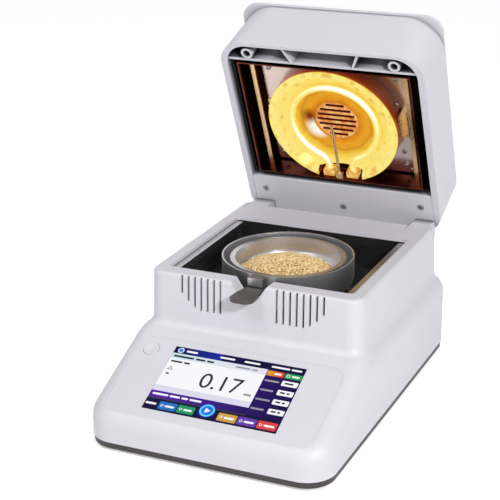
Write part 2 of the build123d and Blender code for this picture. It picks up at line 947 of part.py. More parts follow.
def load_cell():
    """The single-point load cell: a bar with two joined round windows."""
    y0 = -cell_front
    y1 = y0 + cell_length
    bar = box(-cell_width / 2, cell_width / 2, y0, y1, cell_top_z - cell_height, cell_top_z)
    middle_y = (y0 + y1) / 2
    middle_z = cell_top_z - cell_height / 2
    for step in (-1, 1):
        y = middle_y + step * cell_hole_spacing / 2
        bar = bar - rod(cell_hole_radius, (-cell_width, y, middle_z), (1, 0, 0), 2 * cell_width)
    slot = box(
        -cell_width, cell_width,
        middle_y - cell_hole_spacing / 2, middle_y + cell_hole_spacing / 2,
        middle_z - 2, middle_z + 2,
    )
    low = (Align.CENTER, Align.CENTER, Align.MIN)
    bore = Pos(0, 0, cell_top_z - stem_bore_depth) * Cylinder(
        stem_radius + bore_gap, cell_height, align=low
    )
    return bar - slot - bore


def cell_pillar():
    """The aluminium pillar that carries the load cell's fixed end."""
    y1 = cell_length - cell_front
    foot = tray_bottom + tray_floor
    top = cell_top_z - cell_height
    pillar = box(-cell_width / 2, cell_width / 2, y1 - pillar_length, y1, foot, top)
    return pillar + box(-cell_width, cell_width, y1 - pillar_length, y1, foot, foot + 5)


def cell_screws():
    """Screws that hold the load cell down on its pillar."""
    y1 = cell_length - cell_front
    low = (Align.CENTER, Align.CENTER, Align.MIN)
    head = Cylinder(1.7 * cell_screw_radius, cell_screw_radius, align=low)
    return [
        Pos(0, y1 - pillar_length / 2 + step * pillar_length / 4, cell_top_z) * head
        for step in (-1, 1)
    ]


def board_on_posts(x, y, width, length):
    """A circuit board's place: its plate and the four posts under it."""
    foot = tray_bottom + tray_floor
    top = foot + standoff_height
    board = box(x - width / 2, x + width / 2, y - length / 2, y + length / 2, top, top + board_sheet)
    low = (Align.CENTER, Align.CENTER, Align.MIN)
    posts = [
        Pos(x + side_x * (width / 2 - board_margin), y + side_y * (length / 2 - board_margin), foot)
        * Cylinder(standoff_radius, standoff_height, align=low)
        for side_x in (-1, 1)
        for side_y in (-1, 1)
    ]
    return board, posts


def main_board():
    board, posts = board_on_posts(0, main_board_y, main_board_width, main_board_length)
    top = tray_bottom + tray_floor + standoff_height + board_sheet
    half = chip_size / 2
    chip = box(-half, half, main_board_y - half, main_board_y + half, top, top + chip_height)
    plug_y = main_board_y - main_board_length / 2 + plug_depth / 2
    plug_x = main_board_width / 4
    plug = box(plug_x, plug_x + plug_width, plug_y, plug_y + plug_depth, top, top + plug_height)
    return board + chip + plug


def power_board():
    board, posts = board_on_posts(power_board_x, power_board_y, power_board_width, power_board_length)
    top = tray_bottom + tray_floor + standoff_height + board_sheet
    x, y = power_board_x - power_board_width / 8, power_board_y - power_board_length / 5
    half = transformer_size / 2
    core = box(x - half, x + half, y - half, y + half, top, top + transformer_height)
    low = (Align.CENTER, Align.CENTER, Align.MIN)
    can = Pos(power_board_x + power_board_width / 3, power_board_y, top)
    can = can * Cylinder(capacitor_radius, capacitor_height, align=low)
    return board + core + can


def standoffs():
    main = board_on_posts(0, main_board_y, main_board_width, main_board_length)[1]
    power = board_on_posts(power_board_x, power_board_y, power_board_width, power_board_length)[1]
    return main + power


def fuse_levels():
    """Lowest and highest level of the fuse drawer's slot in the mains inlet."""
    low = socket_row_z - inlet_height / 2 + inlet_wall / 2
    return low, low + fuse_height


def mains_inlet():
    """The mains inlet in the rear wall, with three pins and a fuse drawer's slot below."""
    face_y = base_rear
    half, rise = inlet_width / 2, inlet_height / 2
    body = box(
        inlet_x - half, inlet_x + half, face_y - inlet_depth, face_y,
        socket_row_z - rise, socket_row_z + rise,
    )
    flange = box(
        inlet_x - half - inlet_flange, inlet_x + half + inlet_flange,
        face_y, face_y + inlet_flange_sheet,
        socket_row_z - rise - inlet_flange, socket_row_z + rise + inlet_flange,
    )
    drawer_low, drawer_top = fuse_levels()
    back_y = face_y + inlet_flange_sheet - inlet_cavity_depth
    inner = half - inlet_wall
    mouth = box(
        inlet_x - inner, inlet_x + inner, back_y, face_y + 2 * inlet_flange_sheet,
        drawer_top + inlet_wall / 2, socket_row_z + rise,
    )
    drawer = box(
        inlet_x - inner, inlet_x + inner, back_y, face_y + 2 * inlet_flange_sheet,
        drawer_low, drawer_top,
    )
    middle = (drawer_top + inlet_wall / 2 + socket_row_z + rise) / 2
    pins = [
        box(
            inlet_x + shift - pin_width / 2, inlet_x + shift + pin_width / 2,
            back_y - 1, face_y - 1,
            middle + lift - pin_height / 2, middle + lift + pin_height / 2,
        )
        for shift, lift in ((-pin_spread, -1), (0, 1), (pin_spread, -1))
    ]
    body = body + flange - mouth - drawer
    for pin in pins:
        body = body + pin
    return body


def fuse_drawer():
    face_y = base_rear + inlet_flange_sheet
    half = inlet_width / 2 - inlet_wall - seam_gap
    low, high = fuse_levels()
    return box(
        inlet_x - half, inlet_x + half,
        face_y - inlet_cavity_depth, face_y + fuse_proud, low + seam_gap, high - seam_gap,
    )


def switch_axis():
    """The mains rocker's axis, level with the outside of its frame."""
    return (switch_x, base_rear + switch_bezel - rocker_axis_depth, socket_row_z)


def mains_switch_frame():
    """The frame of the rocker switch, hollow where the rocker turns."""
    half, rise = switch_width / 2, switch_height / 2
    body = box(
        switch_x - half, switch_x + half, base_rear - switch_body_depth, base_rear,
        socket_row_z - rise, socket_row_z + rise,
    )
    bezel = box(
        switch_x - half - switch_bezel, switch_x + half + switch_bezel,
        base_rear, base_rear + switch_bezel,
        socket_row_z - rise - switch_bezel, socket_row_z + rise + switch_bezel,
    )
    x, y, z = switch_axis()
    drum = rod(
        rocker_half_length + slide_gap, (x, y, z - rocker_half_width - slide_gap), (0, 0, 1),
        2 * (rocker_half_width + slide_gap),
    )
    return body + bezel - drum


def mains_rocker():
    """The rocker, pressed on its right side, so that its left side stands out."""
    x, y, z = switch_axis()
    drum = rod(rocker_half_length, (x, y, z - rocker_half_width), (0, 0, 1), 2 * rocker_half_width)
    lift = rocker_half_length * tan(radians(rocker_tilt))
    face = make_face(
        Polyline(
            (-rocker_half_length - 1, -rocker_half_length),
            (rocker_half_length + 1, -rocker_half_length),
            (rocker_half_length + 1, rocker_crown + lift),
            (0, rocker_crown),
            (-rocker_half_length - 1, rocker_crown + lift),
            close=True,
        )
    )
    place = Plane(origin=(x, y, z - rocker_half_width), x_dir=(1, 0, 0), z_dir=(0, 0, 1))
    rocker = drum & extrude(place * face, amount=2 * rocker_half_width)
    return rocker.rotate(Axis((x, y, z), (0, 0, 1)), -rocker_tilt)


def data_port():
    """The nine-pole data socket in the rear wall."""
    half, rise = port_width / 2, port_height / 2
    plate = box(
        port_x - half, port_x + half, base_rear, base_rear + 1,
        socket_row_z - rise, socket_row_z + rise,
    )
    shell = box(
        port_x - port_shell_width / 2, port_x + port_shell_width / 2,
        base_rear, base_rear + port_shell_depth,
        socket_row_z - port_shell_height / 2, socket_row_z + port_shell_height / 2,
    )
    shell = fillet(shell.edges().filter_by(Axis.Y), 2)
    body = box(
        port_x - port_shell_width / 2, port_x + port_shell_width / 2,
        base_rear - port_body_depth, base_rear,
        socket_row_z - port_shell_height / 2, socket_row_z + port_shell_height / 2,
    )
    return plate + shell + body


def hinge_pins():
    return both_sides(
        rod(pin_radius, (pin_inner, hinge_y, hinge_z), (1, 0, 0), pin_outer - pin_inner)
    )


def hinge_plates():
    """Steel plates that stiffen the housing beside the hinge."""
    x1 = knuckle_inner - knuckle_side_gap - knuckle_wall
    y1 = inner_rear
    plate = box(
        x1 - hinge_plate_sheet, x1, y1 - 2 * hinge_plate_half, y1,
        hinge_z - hinge_plate_half, hinge_z + hinge_plate_half,
    )
    return both_sides(plate)


def opened(shape):
    """A lid piece, modelled closed, at the lid's open rest position."""
    if isinstance(shape, (list, tuple)):
        return [item.rotate(hinge_axis, -lid_open_angle) for item in shape]
    return shape.rotate(hinge_axis, -lid_open_angle)


def lid_box(x0, x1, along0, along1, depth0, depth1):
    """A block in the closed lid: along from the hinge side, depth from the rim."""
    return box(x0, x1, lid_datum_y - along1, lid_datum_y - along0, lid_rim_z + depth0, lid_rim_z + depth1)


def lid_point(x, along, depth):
    return (x, lid_datum_y - along, lid_rim_z + depth)


def lid_plan(half_width, front, rear, front_corner, rear_corner, depth):
    return Pos(0, 0, lid_rim_z + depth) * outline(half_width, -front, rear, front_corner, rear_corner)


def above_lid_plane(offset):
    """Everything above the lid's sloping top, moved by offset."""
    low = lid_rim_z + lid_rear_height + offset
    high = lid_rim_z + lid_front_height + offset
    rear = lid_rear + lid_overrun
    front = -lid_front - lid_overrun
    side = make_face(
        Polyline(
            (-lid_front, high), (lid_rear, low), (rear, low), (rear, 3 * high),
            (front, 3 * high), (front, high), close=True,
        )
    )
    return extrude(Plane.YZ * side, amount=2 * lid_half_width, both=True)


def lid_shell():
    """The lid's moulding: rim, finger lip, heater opening, front pocket and knuckles."""
    rim = lid_plan(lid_half_width, lid_front, lid_rear, lid_front_corner, lid_rear_corner, 0)
    top = lid_plan(
        lid_half_width, lid_front, lid_rear, lid_top_corner, lid_rear_corner, lid_front_height
    )
    body = loft([rim, top])
    cap = extrude(
        lid_plan(lid_half_width, lid_front + lip_overhang, lid_rear, lip_corner, lid_rear_corner, 0),
        amount=lid_front_height + 10,
    )
    cap = cap & above_lid_plane(-lip_thickness)
    body = body + cap - above_lid_plane(0)
    top_face = body.faces().sort_by(Axis.Z)[-1]
    body = fillet(top_face.edges(), lid_top_round)
    pocket = extrude(
        lid_plan(
            opening_half_width, pocket_length - lid_datum_y, lid_datum_y, pocket_corner, 1.0, -1
        ),
        amount=lid_roof_depth + 1,
    )
    body = body - pocket
    divider = lid_box(
        -opening_half_width - 1, opening_half_width + 1,
        opening_length, opening_length + divider_sheet, rim_recess, lid_roof_depth,
    )
    body = body + divider
    half = pocket_rib_sheet / 2
    for x, lean in (
        (pocket_rib_left_x, pocket_rib_left_lean),
        (pocket_rib_right_x, pocket_rib_right_lean),
    ):
        rib = make_face(
            Polyline(
                (x - half, 0), (x + half, 0), (x + lean + half, pocket_run),
                (x + lean - half, pocket_run), close=True,
            )
        )
        rib = Plane(
            origin=lid_point(0, opening_length + 1, pocket_rib_recess), x_dir=(1, 0, 0), z_dir=(0, 0, -1)
        ) * rib
        body = body + extrude(rib, amount=-(lid_roof_depth - pocket_rib_recess))
    for boss in both_sides(
        rod(boss_radius, lid_point(boss_x, boss_along, pocket_rib_recess), (0, 0, 1),
            lid_roof_depth - pocket_rib_recess)
    ):
        body = body + boss
    for bore in both_sides(
        rod(boss_bore, lid_point(boss_x, boss_along, 0), (0, 0, 1), lid_roof_depth - 10)
    ):
        body = body - bore
    rear_room = box(
        -strip_hollow_half, strip_hollow_half,
        lid_datum_y + opening_wall, knuckle_foot_y - knuckle_foot_clear,
        lid_rim_z + strip_sheet, lid_rim_z + lid_roof_depth,
    )
    rear_room = rear_room + box(
        -strip_hollow_mid_half, strip_hollow_mid_half, lid_datum_y + opening_wall, strip_hollow_rear,
        lid_rim_z + strip_sheet, lid_rim_z + lid_roof_depth,
    )
    for x, y in strip_screw_spots():
        rear_room = rear_room - rod(
            strip_boss_radius, (x, y, lid_rim_z), (0, 0, 1), lid_roof_depth
        )
    body = body - rear_room - strip_plan(seam_gap)
    for x, y in strip_screw_spots():
        body = body - rod(screw_shank_radius, (x, y, lid_rim_z), (0, 0, 1), screw_length)
    body = opened(body)
    bore = rod(pin_radius + bush_wall, (-base_half, hinge_y, hinge_z), (1, 0, 0), base_width)
    for foot in both_sides(knuckle(knuckle_inner, knuckle_outer)):
        body = body + foot
    return body - bore


def strip_screw_spots():
    """Where the cover strip's three screws go, with the lid closed."""
    return [(-strip_screw_x, strip_screw_y), (strip_screw_x, strip_screw_y), (0, strip_mid_screw_y)]


def strip_plan(extra):
    """The room of the cover strip, grown sideways by extra."""
    low = lid_rim_z - (1 if extra else 0)
    high = lid_rim_z + strip_sheet
    half = opening_half_width - seam_gap + extra
    front = lid_datum_y + seam_gap - extra
    plate = box(-half, half, front, knuckle_foot_y - fit_gap + extra, low, high)
    tongue_half = knuckle_inner - knuckle_side_gap + extra
    return plate + box(
        -tongue_half, tongue_half, front, strip_end_y + extra, low, high
    )


def hinge_cover():
    """The cover strip on the lid's hinge side, with three countersunk holes."""
    cover = strip_plan(0)
    for x, y in strip_screw_spots():
        cover = cover - rod(screw_shank_radius, (x, y, lid_rim_z - 1), (0, 0, 1), 2 * strip_sheet)
        sink = Cone(screw_head_radius, screw_shank_radius, strip_sheet - 0.4,
                    align=(Align.CENTER, Align.CENTER, Align.MIN))
        cover = cover - Pos(x, y, lid_rim_z) * sink
    return opened(cover)


def cover_screws():
    screws = []
    for x, y in strip_screw_spots():
        head = Cone(screw_head_radius - 0.1, screw_shank_radius - 0.1, strip_sheet - 0.4,
                    align=(Align.CENTER, Align.CENTER, Align.MIN))
        shank = rod(screw_shank_radius - 0.1, (x, y, lid_rim_z), (0, 0, 1), screw_length - 1)
        screws.append(Pos(x, y, lid_rim_z) * head + shank)
    return opened(screws)


def hinge_bushes():
    x0 = knuckle_inner
    length = knuckle_outer - knuckle_inner
    outer = rod(pin_radius + bush_wall, (x0, hinge_y, hinge_z), (1, 0, 0), length)
    bore = rod(pin_radius + bore_gap, (x0 - 1, hinge_y, hinge_z), (1, 0, 0), length + 2)
    return both_sides(outer - bore)


def lid_liner():
    """The black sheet-steel tray around the heater box."""
    half = opening_half_width - liner_side_gap
    start, end = liner_side_gap, opening_length - liner_side_gap
    back = heater_depth + lid_liner_sheet
    tray = lid_box(-half, half, start, end, lid_liner_start_depth, back)
    sheet = lid_liner_sheet
    return opened(
        tray - lid_box(-half + sheet, half - sheet, start + sheet, end - sheet, 0, heater_depth)
    )


def insulation_pad():
    half = opening_half_width - liner_side_gap
    back = heater_depth + lid_liner_sheet
    return opened(
        lid_box(-half, half, liner_side_gap, opening_length - liner_side_gap, back, lid_roof_depth)
    )


def heater_box():
    """The bright steel box that holds the lamp and its reflector."""
    half, sheet = heater_half_width, heater_sheet
    outer = lid_box(-half, half, heater_start, heater_end, rim_recess, heater_depth)
    inner = lid_box(
        -half + sheet, half - sheet, heater_start + sheet, heater_end - sheet, 0, heater_depth - sheet
    )
    return opened(outer - inner)


def reflector_plate():
    """The polished plate round the dish, standing on two folded side flanges."""
    half, sheet = plate_half_width, heater_sheet
    floor = heater_depth - heater_sheet
    plate = lid_box(-half, half, plate_start, plate_end, plate_depth, floor)
    plate = plate - lid_box(
        -half + sheet, half - sheet, 0, 2 * plate_end, plate_depth + sheet, heater_depth
    )
    hole = rod(plate_hole_radius, lid_point(0, lamp_centre_along, 0), (0, 0, 1), lid_roof_depth)
    return opened(plate - hole)


def reflector_dish():
    """The spun reflector: a skirt that stands on the plate and a cone down to the grille."""
    r1, t = dish_radius, dish_sheet
    r0 = grille_radius
    side = make_face(
        Polyline(
            (r1, dish_depth), (r1, plate_depth), (r1 - t, plate_depth), (r1 - t, dish_depth + t),
            (r1 - dish_rim_width, dish_depth + t), (dish_knee_radius, dish_knee_depth + t),
            (r0, dish_floor_depth + t), (r0, dish_floor_depth),
            (dish_knee_radius, dish_knee_depth), (r1 - dish_rim_width, dish_depth),
            close=True,
        )
    )
    place = Plane(origin=lid_point(0, lamp_centre_along, 0), x_dir=(1, 0, 0), z_dir=(0, -1, 0))
    dish = revolve(place * side, Axis(lid_point(0, lamp_centre_along, 0), (0, 0, 1)))
    gap = lid_box(
        -dish_slot_half, dish_slot_half, -heater_start, dish_slot_along, -dish_depth, heater_depth
    )
    return opened(dish - gap)


def vent_grille():
    """The slotted disc in the middle of the dish."""
    disc = rod(
        grille_radius, lid_point(0, lamp_centre_along, dish_floor_depth), (0, 0, 1), grille_sheet
    )
    pitch = 2 * (grille_radius - grille_margin) / grille_slots
    for step in range(grille_slots):
        along = lamp_centre_along + (step - (grille_slots - 1) / 2) * pitch
        reach = sqrt(grille_radius**2 - (abs(along - lamp_centre_along) + grille_slot_width / 2) ** 2)
        disc = disc - lid_box(
            -reach + grille_margin, reach - grille_margin,
            along - grille_slot_width / 2, along + grille_slot_width / 2, 0, heater_depth,
        )
    return opened(disc)


def lamp_path():
    """The lamp tube's middle line: two legs, two bends and an open ring, in plan."""
    ring, bend = lamp_ring_radius, lamp_bend_radius
    bend_x = lamp_leg_x + bend
    rise = sqrt((ring + bend) ** 2 - bend_x**2)
    bend_along = lamp_centre_along - rise
    share = ring / (ring + bend)
    touch = (share * bend_x, lamp_centre_along - share * rise)
    to_leg = 180.0
    to_ring = degrees(atan2(touch[1] - bend_along, touch[0] - bend_x))
    mid = radians((to_leg + to_ring) / 2)
    bend_mid = (bend_x + bend * cos(mid), bend_along + bend * sin(mid))
    top = (0, lamp_centre_along + ring)
    start = lamp_leg_start - socket_length
    return Curve() + [
        Line((lamp_leg_x, start), (lamp_leg_x, bend_along)),
        ThreePointArc((lamp_leg_x, bend_along), bend_mid, touch),
        ThreePointArc(touch, top, (-touch[0], touch[1])),
        ThreePointArc((-touch[0], touch[1]), (-bend_mid[0], bend_mid[1]), (-lamp_leg_x, bend_along)),
        Line((-lamp_leg_x, bend_along), (-lamp_leg_x, start)),
    ]


def halogen_lamp():
    start = lamp_leg_start - socket_length
    plane = Plane(origin=lid_point(0, 0, lamp_depth), x_dir=(1, 0, 0), z_dir=(0, 0, -1))
    path = Wire((plane * lamp_path()).edges())
    section = Plane(origin=lid_point(lamp_leg_x, start, lamp_depth), z_dir=(0, 1, 0)) * Circle(
        lamp_tube_radius
    )
    return opened(sweep(section, path=path))


def lamp_sockets():
    """The two ceramic blocks on the heater box that take the lamp's ends."""
    half = socket_width / 2
    start = heater_start + heater_sheet
    end = lamp_leg_start - socket_length
    block = lid_box(
        lamp_leg_x - half, lamp_leg_x + half, start, start + socket_length,
        lamp_depth - socket_height / 2, lamp_depth + socket_height / 2,
    )
    hole = rod(
        lamp_tube_radius, lid_point(lamp_leg_x, start + socket_length + 1, lamp_depth), (0, 1, 0),
        start + socket_length + 1 - end,
    )
    return opened(both_sides(block - hole))


def temperature_probe():
    """The thin sensor that reaches from the box's hinge side to the dish's middle."""
    start = heater_start + heater_sheet
    half, rise = probe_block / 2, probe_block_height / 2
    block = lid_box(-half, half, start, start + probe_block, probe_depth - rise, probe_depth + rise)
    stem = rod(
        probe_radius, lid_point(0, start + 1, probe_depth), (0, -1, 0), probe_tip_along - start - 1
    )
    return opened(block + stem)


def side_rails():
    """The two pale ceramic bars along the sides of the heater box."""
    half = side_rail_width / 2
    bar = lid_box(
        side_rail_x - half, side_rail_x + half, heater_start + heater_sheet, heater_end - heater_sheet,
        side_rail_depth, side_rail_depth + side_rail_sheet,
    )
    return opened(both_sides(bar))


def plate_screws():
    screws = []
    for along in plate_screw_alongs:
        head = rod(
            plate_screw_radius, lid_point(plate_screw_x, along, plate_depth), (0, 0, -1),
            plate_screw_head,
        )
        screws += both_sides(head)
    return opened(screws)


def dish_clamps():
    """Two small angles that hold the dish's skirt to the plate."""
    x0 = dish_radius + seam_gap
    along0 = lamp_centre_along - clamp_length / 2
    along1 = along0 + clamp_length
    top = plate_depth - clamp_height
    foot = lid_box(x0, plate_half_width, along0, along1, plate_depth - clamp_sheet, plate_depth)
    post = lid_box(x0, x0 + clamp_sheet, along0, along1, top, plate_depth)
    return opened(both_sides(foot + post))


def pan_holder():
    """The round holder that lifts the pan: a thin bowl, open in the middle."""
    r, t = ring_radius, ring_sheet
    outer = make_face(
        Polyline(
            (ring_inner_radius, ring_bottom_z), (r, ring_bottom_z), (r, ring_top_z),
            (r - t, ring_top_z), (r - t, ring_bottom_z + t), (ring_inner_radius, ring_bottom_z + t),
            close=True,
        )
    )
    low = [v for v in outer.vertices() if abs(v.X - r) < 0.01 and v.Y < ring_bottom_z + 0.01]
    outer = fillet(low, ring_curve)
    inner = [v for v in outer.vertices() if abs(v.X - r + t) < 0.01 and v.Y < ring_bottom_z + t + 0.01]
    outer = fillet(inner, ring_curve - t)
    return revolve(Plane.XZ * outer, Axis.Z)


def sample_pan():
    """The shallow aluminium pan with its broad rolled rim."""
    t = pan_sheet
    wall_r = pan_radius - pan_rim_width
    side = make_face(
        Polyline(
            (0, pan_floor_z), (pan_floor_radius, pan_floor_z), (wall_r, pan_rim_z - t),
            (pan_radius, pan_rim_z - t), (pan_radius, pan_rim_z), (wall_r - t, pan_rim_z),
            (pan_floor_radius - t, pan_floor_z + t), (0, pan_floor_z + t), close=True,
        )
    )
    return revolve(Plane.XZ * side, Axis.Z)


def sample_grain():
    """The heap of grain, as one low mound."""
    floor = pan_floor_z + pan_sheet
    big = (grain_radius**2 + grain_height**2) / (2 * grain_height)
    ball = Pos(grain_offset, grain_offset, floor + grain_height - big) * Sphere(big)
    return ball & box(-pan_radius, pan_radius, -pan_radius, pan_radius, floor, floor + 2 * grain_height)


def pan_carrier():
    """The disc that carries the holder, with a cross above it for the pan."""
    low = (Align.CENTER, Align.CENTER, Align.MIN)
    disc = Pos(0, 0, ring_bottom_z - carrier_sheet) * Cylinder(carrier_radius, carrier_sheet, align=low)
    hub_height = pan_floor_z - ring_bottom_z
    carrier = disc + Pos(0, 0, ring_bottom_z) * Cylinder(carrier_hub_radius, hub_height, align=low)
    arm = box(
        -carrier_arm_length, carrier_arm_length, -carrier_arm_width / 2, carrier_arm_width / 2,
        pan_floor_z - carrier_sheet, pan_floor_z,
    )
    return carrier + arm + arm.rotate(Axis.Z, 90)


def weighing_stem():
    """The stem from the load cell's free end up to the carrier."""
    top = ring_bottom_z - carrier_sheet
    foot = cell_top_z - stem_bore_depth + load_travel
    low = (Align.CENTER, Align.CENTER, Align.MIN)
    return Pos(0, 0, foot) * Cylinder(stem_radius, top - foot, align=low)


def turned(solid):
    """A handle piece, turned about the pan's axis with the whole holder."""
    return solid.rotate(Axis.Z, -handle_turn)


def handle_bracket():
    """The bent bright strip from the holder's wall out through the notch."""
    half = strip_width / 2
    t = bracket_sheet_t
    top = box(-half, half, -bracket_front, -ring_radius + bracket_ring_lap, ring_top_z - t, ring_top_z)
    drop = box(-half, half, -bracket_front, -bracket_front + t, bracket_foot_z, ring_top_z)
    foot_end = bracket_front + bracket_foot_length
    foot = box(-half, half, -foot_end, -bracket_front + t, bracket_foot_z, bracket_foot_z + t)
    drum = Cylinder(ring_radius, 2 * ring_top_z, align=(Align.CENTER, Align.CENTER, Align.MIN))
    return turned(top + drop + foot - drum)


def handle_tab():
    """The dark heat-proof tab that the fingers hold, wider towards its rounded front."""
    z0 = bracket_foot_z + bracket_sheet_t
    half = tab_width / 2
    plan = make_face(
        Polyline(
            (-tab_rear_half, -tab_back), (-half, -tab_wide_y), (-half, -tab_front),
            (half, -tab_front), (half, -tab_wide_y), (tab_rear_half, -tab_back), close=True,
        )
    )
    rows = plan.vertices().group_by(Axis.Y)
    plan = fillet(rows[0], tab_corner)
    rows = [v for v in plan.vertices() if abs(v.Y + tab_wide_y) < 0.01]
    plan = fillet(rows, tab_side_corner)
    tab = extrude(Pos(0, 0, z0) * plan, amount=tab_thickness)
    return turned(fillet(tab.edges().group_by(Axis.Z)[-1], tab_round))


def handle_rivets():
    """Two rivets under the strip, up into the tab, out of sight from above."""
    low = (Align.CENTER, Align.CENTER, Align.MAX)
    return [
        turned(Pos(0, y, bracket_foot_z) * Cylinder(rivet_radius, rivet_head, align=low))
        for y in (-tab_back - rivet_first, -tab_back - rivet_last)
    ]


pieces = {
    "top_housing": top_housing,
    "bottom_tray": bottom_tray,
    "rubber_feet": rubber_feet,
    "tray_screws": tray_screws,
    "chamber_liner": chamber_liner,
    "chamber_rails": chamber_rails,
    "chamber_plate": chamber_plate,
    "heat_shield": heat_shield,
    "display_glass": display_glass,
    "lcd_module": lcd_module,
    "display_bracket": display_bracket,
    "power_key": power_key,
    "key_board": key_board,
    "tact_switch": tact_switch,
    "load_cell": load_cell,
    "cell_pillar": cell_pillar,
    "cell_screws": cell_screws,
    "main_board": main_board,
    "power_board": power_board,
    "standoffs": standoffs,
    "mains_inlet": mains_inlet,
    "fuse_drawer": fuse_drawer,
    "mains_switch_frame": mains_switch_frame,
    "mains_rocker": mains_rocker,
    "data_port": data_port,
    "hinge_pins": hinge_pins,
    "hinge_plates": hinge_plates,
    "lid_shell": lid_shell,
    "hinge_cover": hinge_cover,
    "cover_screws": cover_screws,
    "hinge_bushes": hinge_bushes,
    "lid_liner": lid_liner,
    "insulation_pad": insulation_pad,
    "heater_box": heater_box,
    "reflector_plate": reflector_plate,
    "reflector_dish": reflector_dish,
    "vent_grille": vent_grille,
    "halogen_lamp": halogen_lamp,
    "lamp_sockets": lamp_sockets,
    "temperature_probe": temperature_probe,
    "side_rails": side_rails,
    "plate_screws": plate_screws,
    "dish_clamps": dish_clamps,
    "pan_holder": pan_holder,
    "sample_pan": sample_pan,
    "sample_grain": sample_grain,
    "pan_carrier": pan_carrier,
    "weighing_stem": weighing_stem,
    "handle_bracket": handle_bracket,
    "handle_tab": handle_tab,
    "handle_rivets": handle_rivets,
}


def main():
    os.makedirs("parts", exist_ok=True)
    built = {name: solids_of(make()) for name, make in pieces.items()}
    rear = max(solid.bounding_box().max.Y for solid in built["lid_shell"])
    front = min(solid.bounding_box().min.Y for solid in built["top_housing"])
    centred = Pos(0, -(front + rear) / 2, 0)
    print("moved back by", round((front + rear) / 2, 3))
    for name, solids in built.items():
        moved = [centred * solid for solid in solids]
        shape = moved[0] if len(moved) == 1 else Compound(children=moved)
        export_step(shape, os.path.join("parts", name + ".step"))
        print(name, len(moved))


main()
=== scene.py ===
# %% [markdown]
# # A halogen moisture analyzer with its lid open
# This balance weighs a sample while a ring-shaped halogen lamp dries it. The solid shapes
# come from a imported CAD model. This script adds what CAD leaves out: finishes, grain, the
# lit screen, small fasteners, light and a camera. The CAD model is loaded first and is
# never changed, so every finish can trust its measurements.

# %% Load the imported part
import json
import math
import random

import bmesh
import bpy
from mathutils import Matrix, Vector


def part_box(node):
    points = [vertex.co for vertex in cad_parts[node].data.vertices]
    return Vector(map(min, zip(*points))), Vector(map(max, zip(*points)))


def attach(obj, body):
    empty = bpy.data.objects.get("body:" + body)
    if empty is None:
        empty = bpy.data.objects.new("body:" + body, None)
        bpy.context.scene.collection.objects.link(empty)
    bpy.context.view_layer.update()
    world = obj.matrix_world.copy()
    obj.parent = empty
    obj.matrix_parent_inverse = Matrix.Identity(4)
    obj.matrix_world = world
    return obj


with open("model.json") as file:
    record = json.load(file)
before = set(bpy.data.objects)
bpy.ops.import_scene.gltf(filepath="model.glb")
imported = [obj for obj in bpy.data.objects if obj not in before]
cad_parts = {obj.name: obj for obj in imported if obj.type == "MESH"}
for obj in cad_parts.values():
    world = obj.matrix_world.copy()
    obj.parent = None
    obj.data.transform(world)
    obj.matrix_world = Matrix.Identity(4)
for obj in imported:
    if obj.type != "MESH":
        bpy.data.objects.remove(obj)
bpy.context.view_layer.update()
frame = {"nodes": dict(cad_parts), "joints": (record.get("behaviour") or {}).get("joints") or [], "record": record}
nodes = frame["nodes"]
MM = 0.001

# %% [markdown]
# ## Where things are
# Three places are used again and again: the middle of the pan, the sloped touch panel, and
# the open lid. Each gets a small coordinate system of its own, worked out from the CAD, so
# that details can be placed in plain millimetres along the surface they belong to.

# %% The pan, the panel and the open lid
pan_low, pan_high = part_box("sample_pan")
pan_middle = (pan_low + pan_high) / 2

panel_angle = math.radians(22.6)
glass_low, glass_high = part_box("display_glass")
glass_middle = (glass_low + glass_high) / 2
panel_turn = Matrix.Rotation(panel_angle, 4, "X")
glass_thickness = 2.2 * MM
panel_place = Matrix.Translation(glass_middle) @ panel_turn @ Matrix.Translation((0, 0, glass_thickness / 2))

hinge = next(joint for joint in frame["joints"] if joint["name"] == "lid_hinge")
hinge_point = Vector(hinge["pos_m"])
lid_open = math.radians(hinge["range_deg"][1])
closed_opening_edge = pan_middle.y + 73.0 * MM
closed_rim_height = 111.0 * MM


def lid_matrix(x, along, depth):
    """A place in the open lid: x to the right, along from the hinge side, depth from the rim, in mm."""
    closed = Vector((x * MM, closed_opening_edge - along * MM, closed_rim_height + depth * MM))
    turn = Matrix.Rotation(-lid_open, 4, "X")
    opened = Matrix.Translation(hinge_point) @ turn @ Matrix.Translation(-hinge_point)
    return opened @ Matrix.Translation(closed)


print("dish middle:", tuple(round(v, 4) for v in lid_matrix(0, 60, 10).translation))

# %% [markdown]
# ## The camera
# The view is that of a long lens, about a metre away, looking down by twenty degrees from
# the front left. A long lens keeps the parallel edges of the housing nearly parallel. A very
# small roll matches the tilt of the picture.

# %% Camera
view_azimuth = math.radians(24.12)
view_elevation = math.radians(20.15)
view_roll = math.radians(-0.43)
view_distance = 1168.51 * MM
lens_mm = 103.92
target = Vector((-33.47 * MM, pan_middle.y, 110.29 * MM))

backward = Vector(
    (
        math.sin(view_azimuth) * math.cos(view_elevation),
        -math.cos(view_azimuth) * math.cos(view_elevation),
        math.sin(view_elevation),
    )
)
rightward = Vector((math.cos(view_azimuth), math.sin(view_azimuth), 0))
upward = backward.cross(rightward)
rolled_right = math.cos(view_roll) * rightward + math.sin(view_roll) * upward
rolled_up = -math.sin(view_roll) * rightward + math.cos(view_roll) * upward

camera_data = bpy.data.cameras.new("camera")
camera_data.lens = lens_mm
camera_data.sensor_width = 36
camera_data.sensor_fit = "HORIZONTAL"
camera_data.clip_start = 0.05
camera_data.clip_end = 50
camera = bpy.data.objects.new("camera", camera_data)
bpy.context.collection.objects.link(camera)
turn = Matrix((rolled_right, rolled_up, backward)).transposed().to_4x4()
camera.matrix_world = Matrix.Translation(target + view_distance * backward) @ turn
bpy.context.scene.camera = camera
print("camera at", tuple(round(v, 3) for v in camera.location))

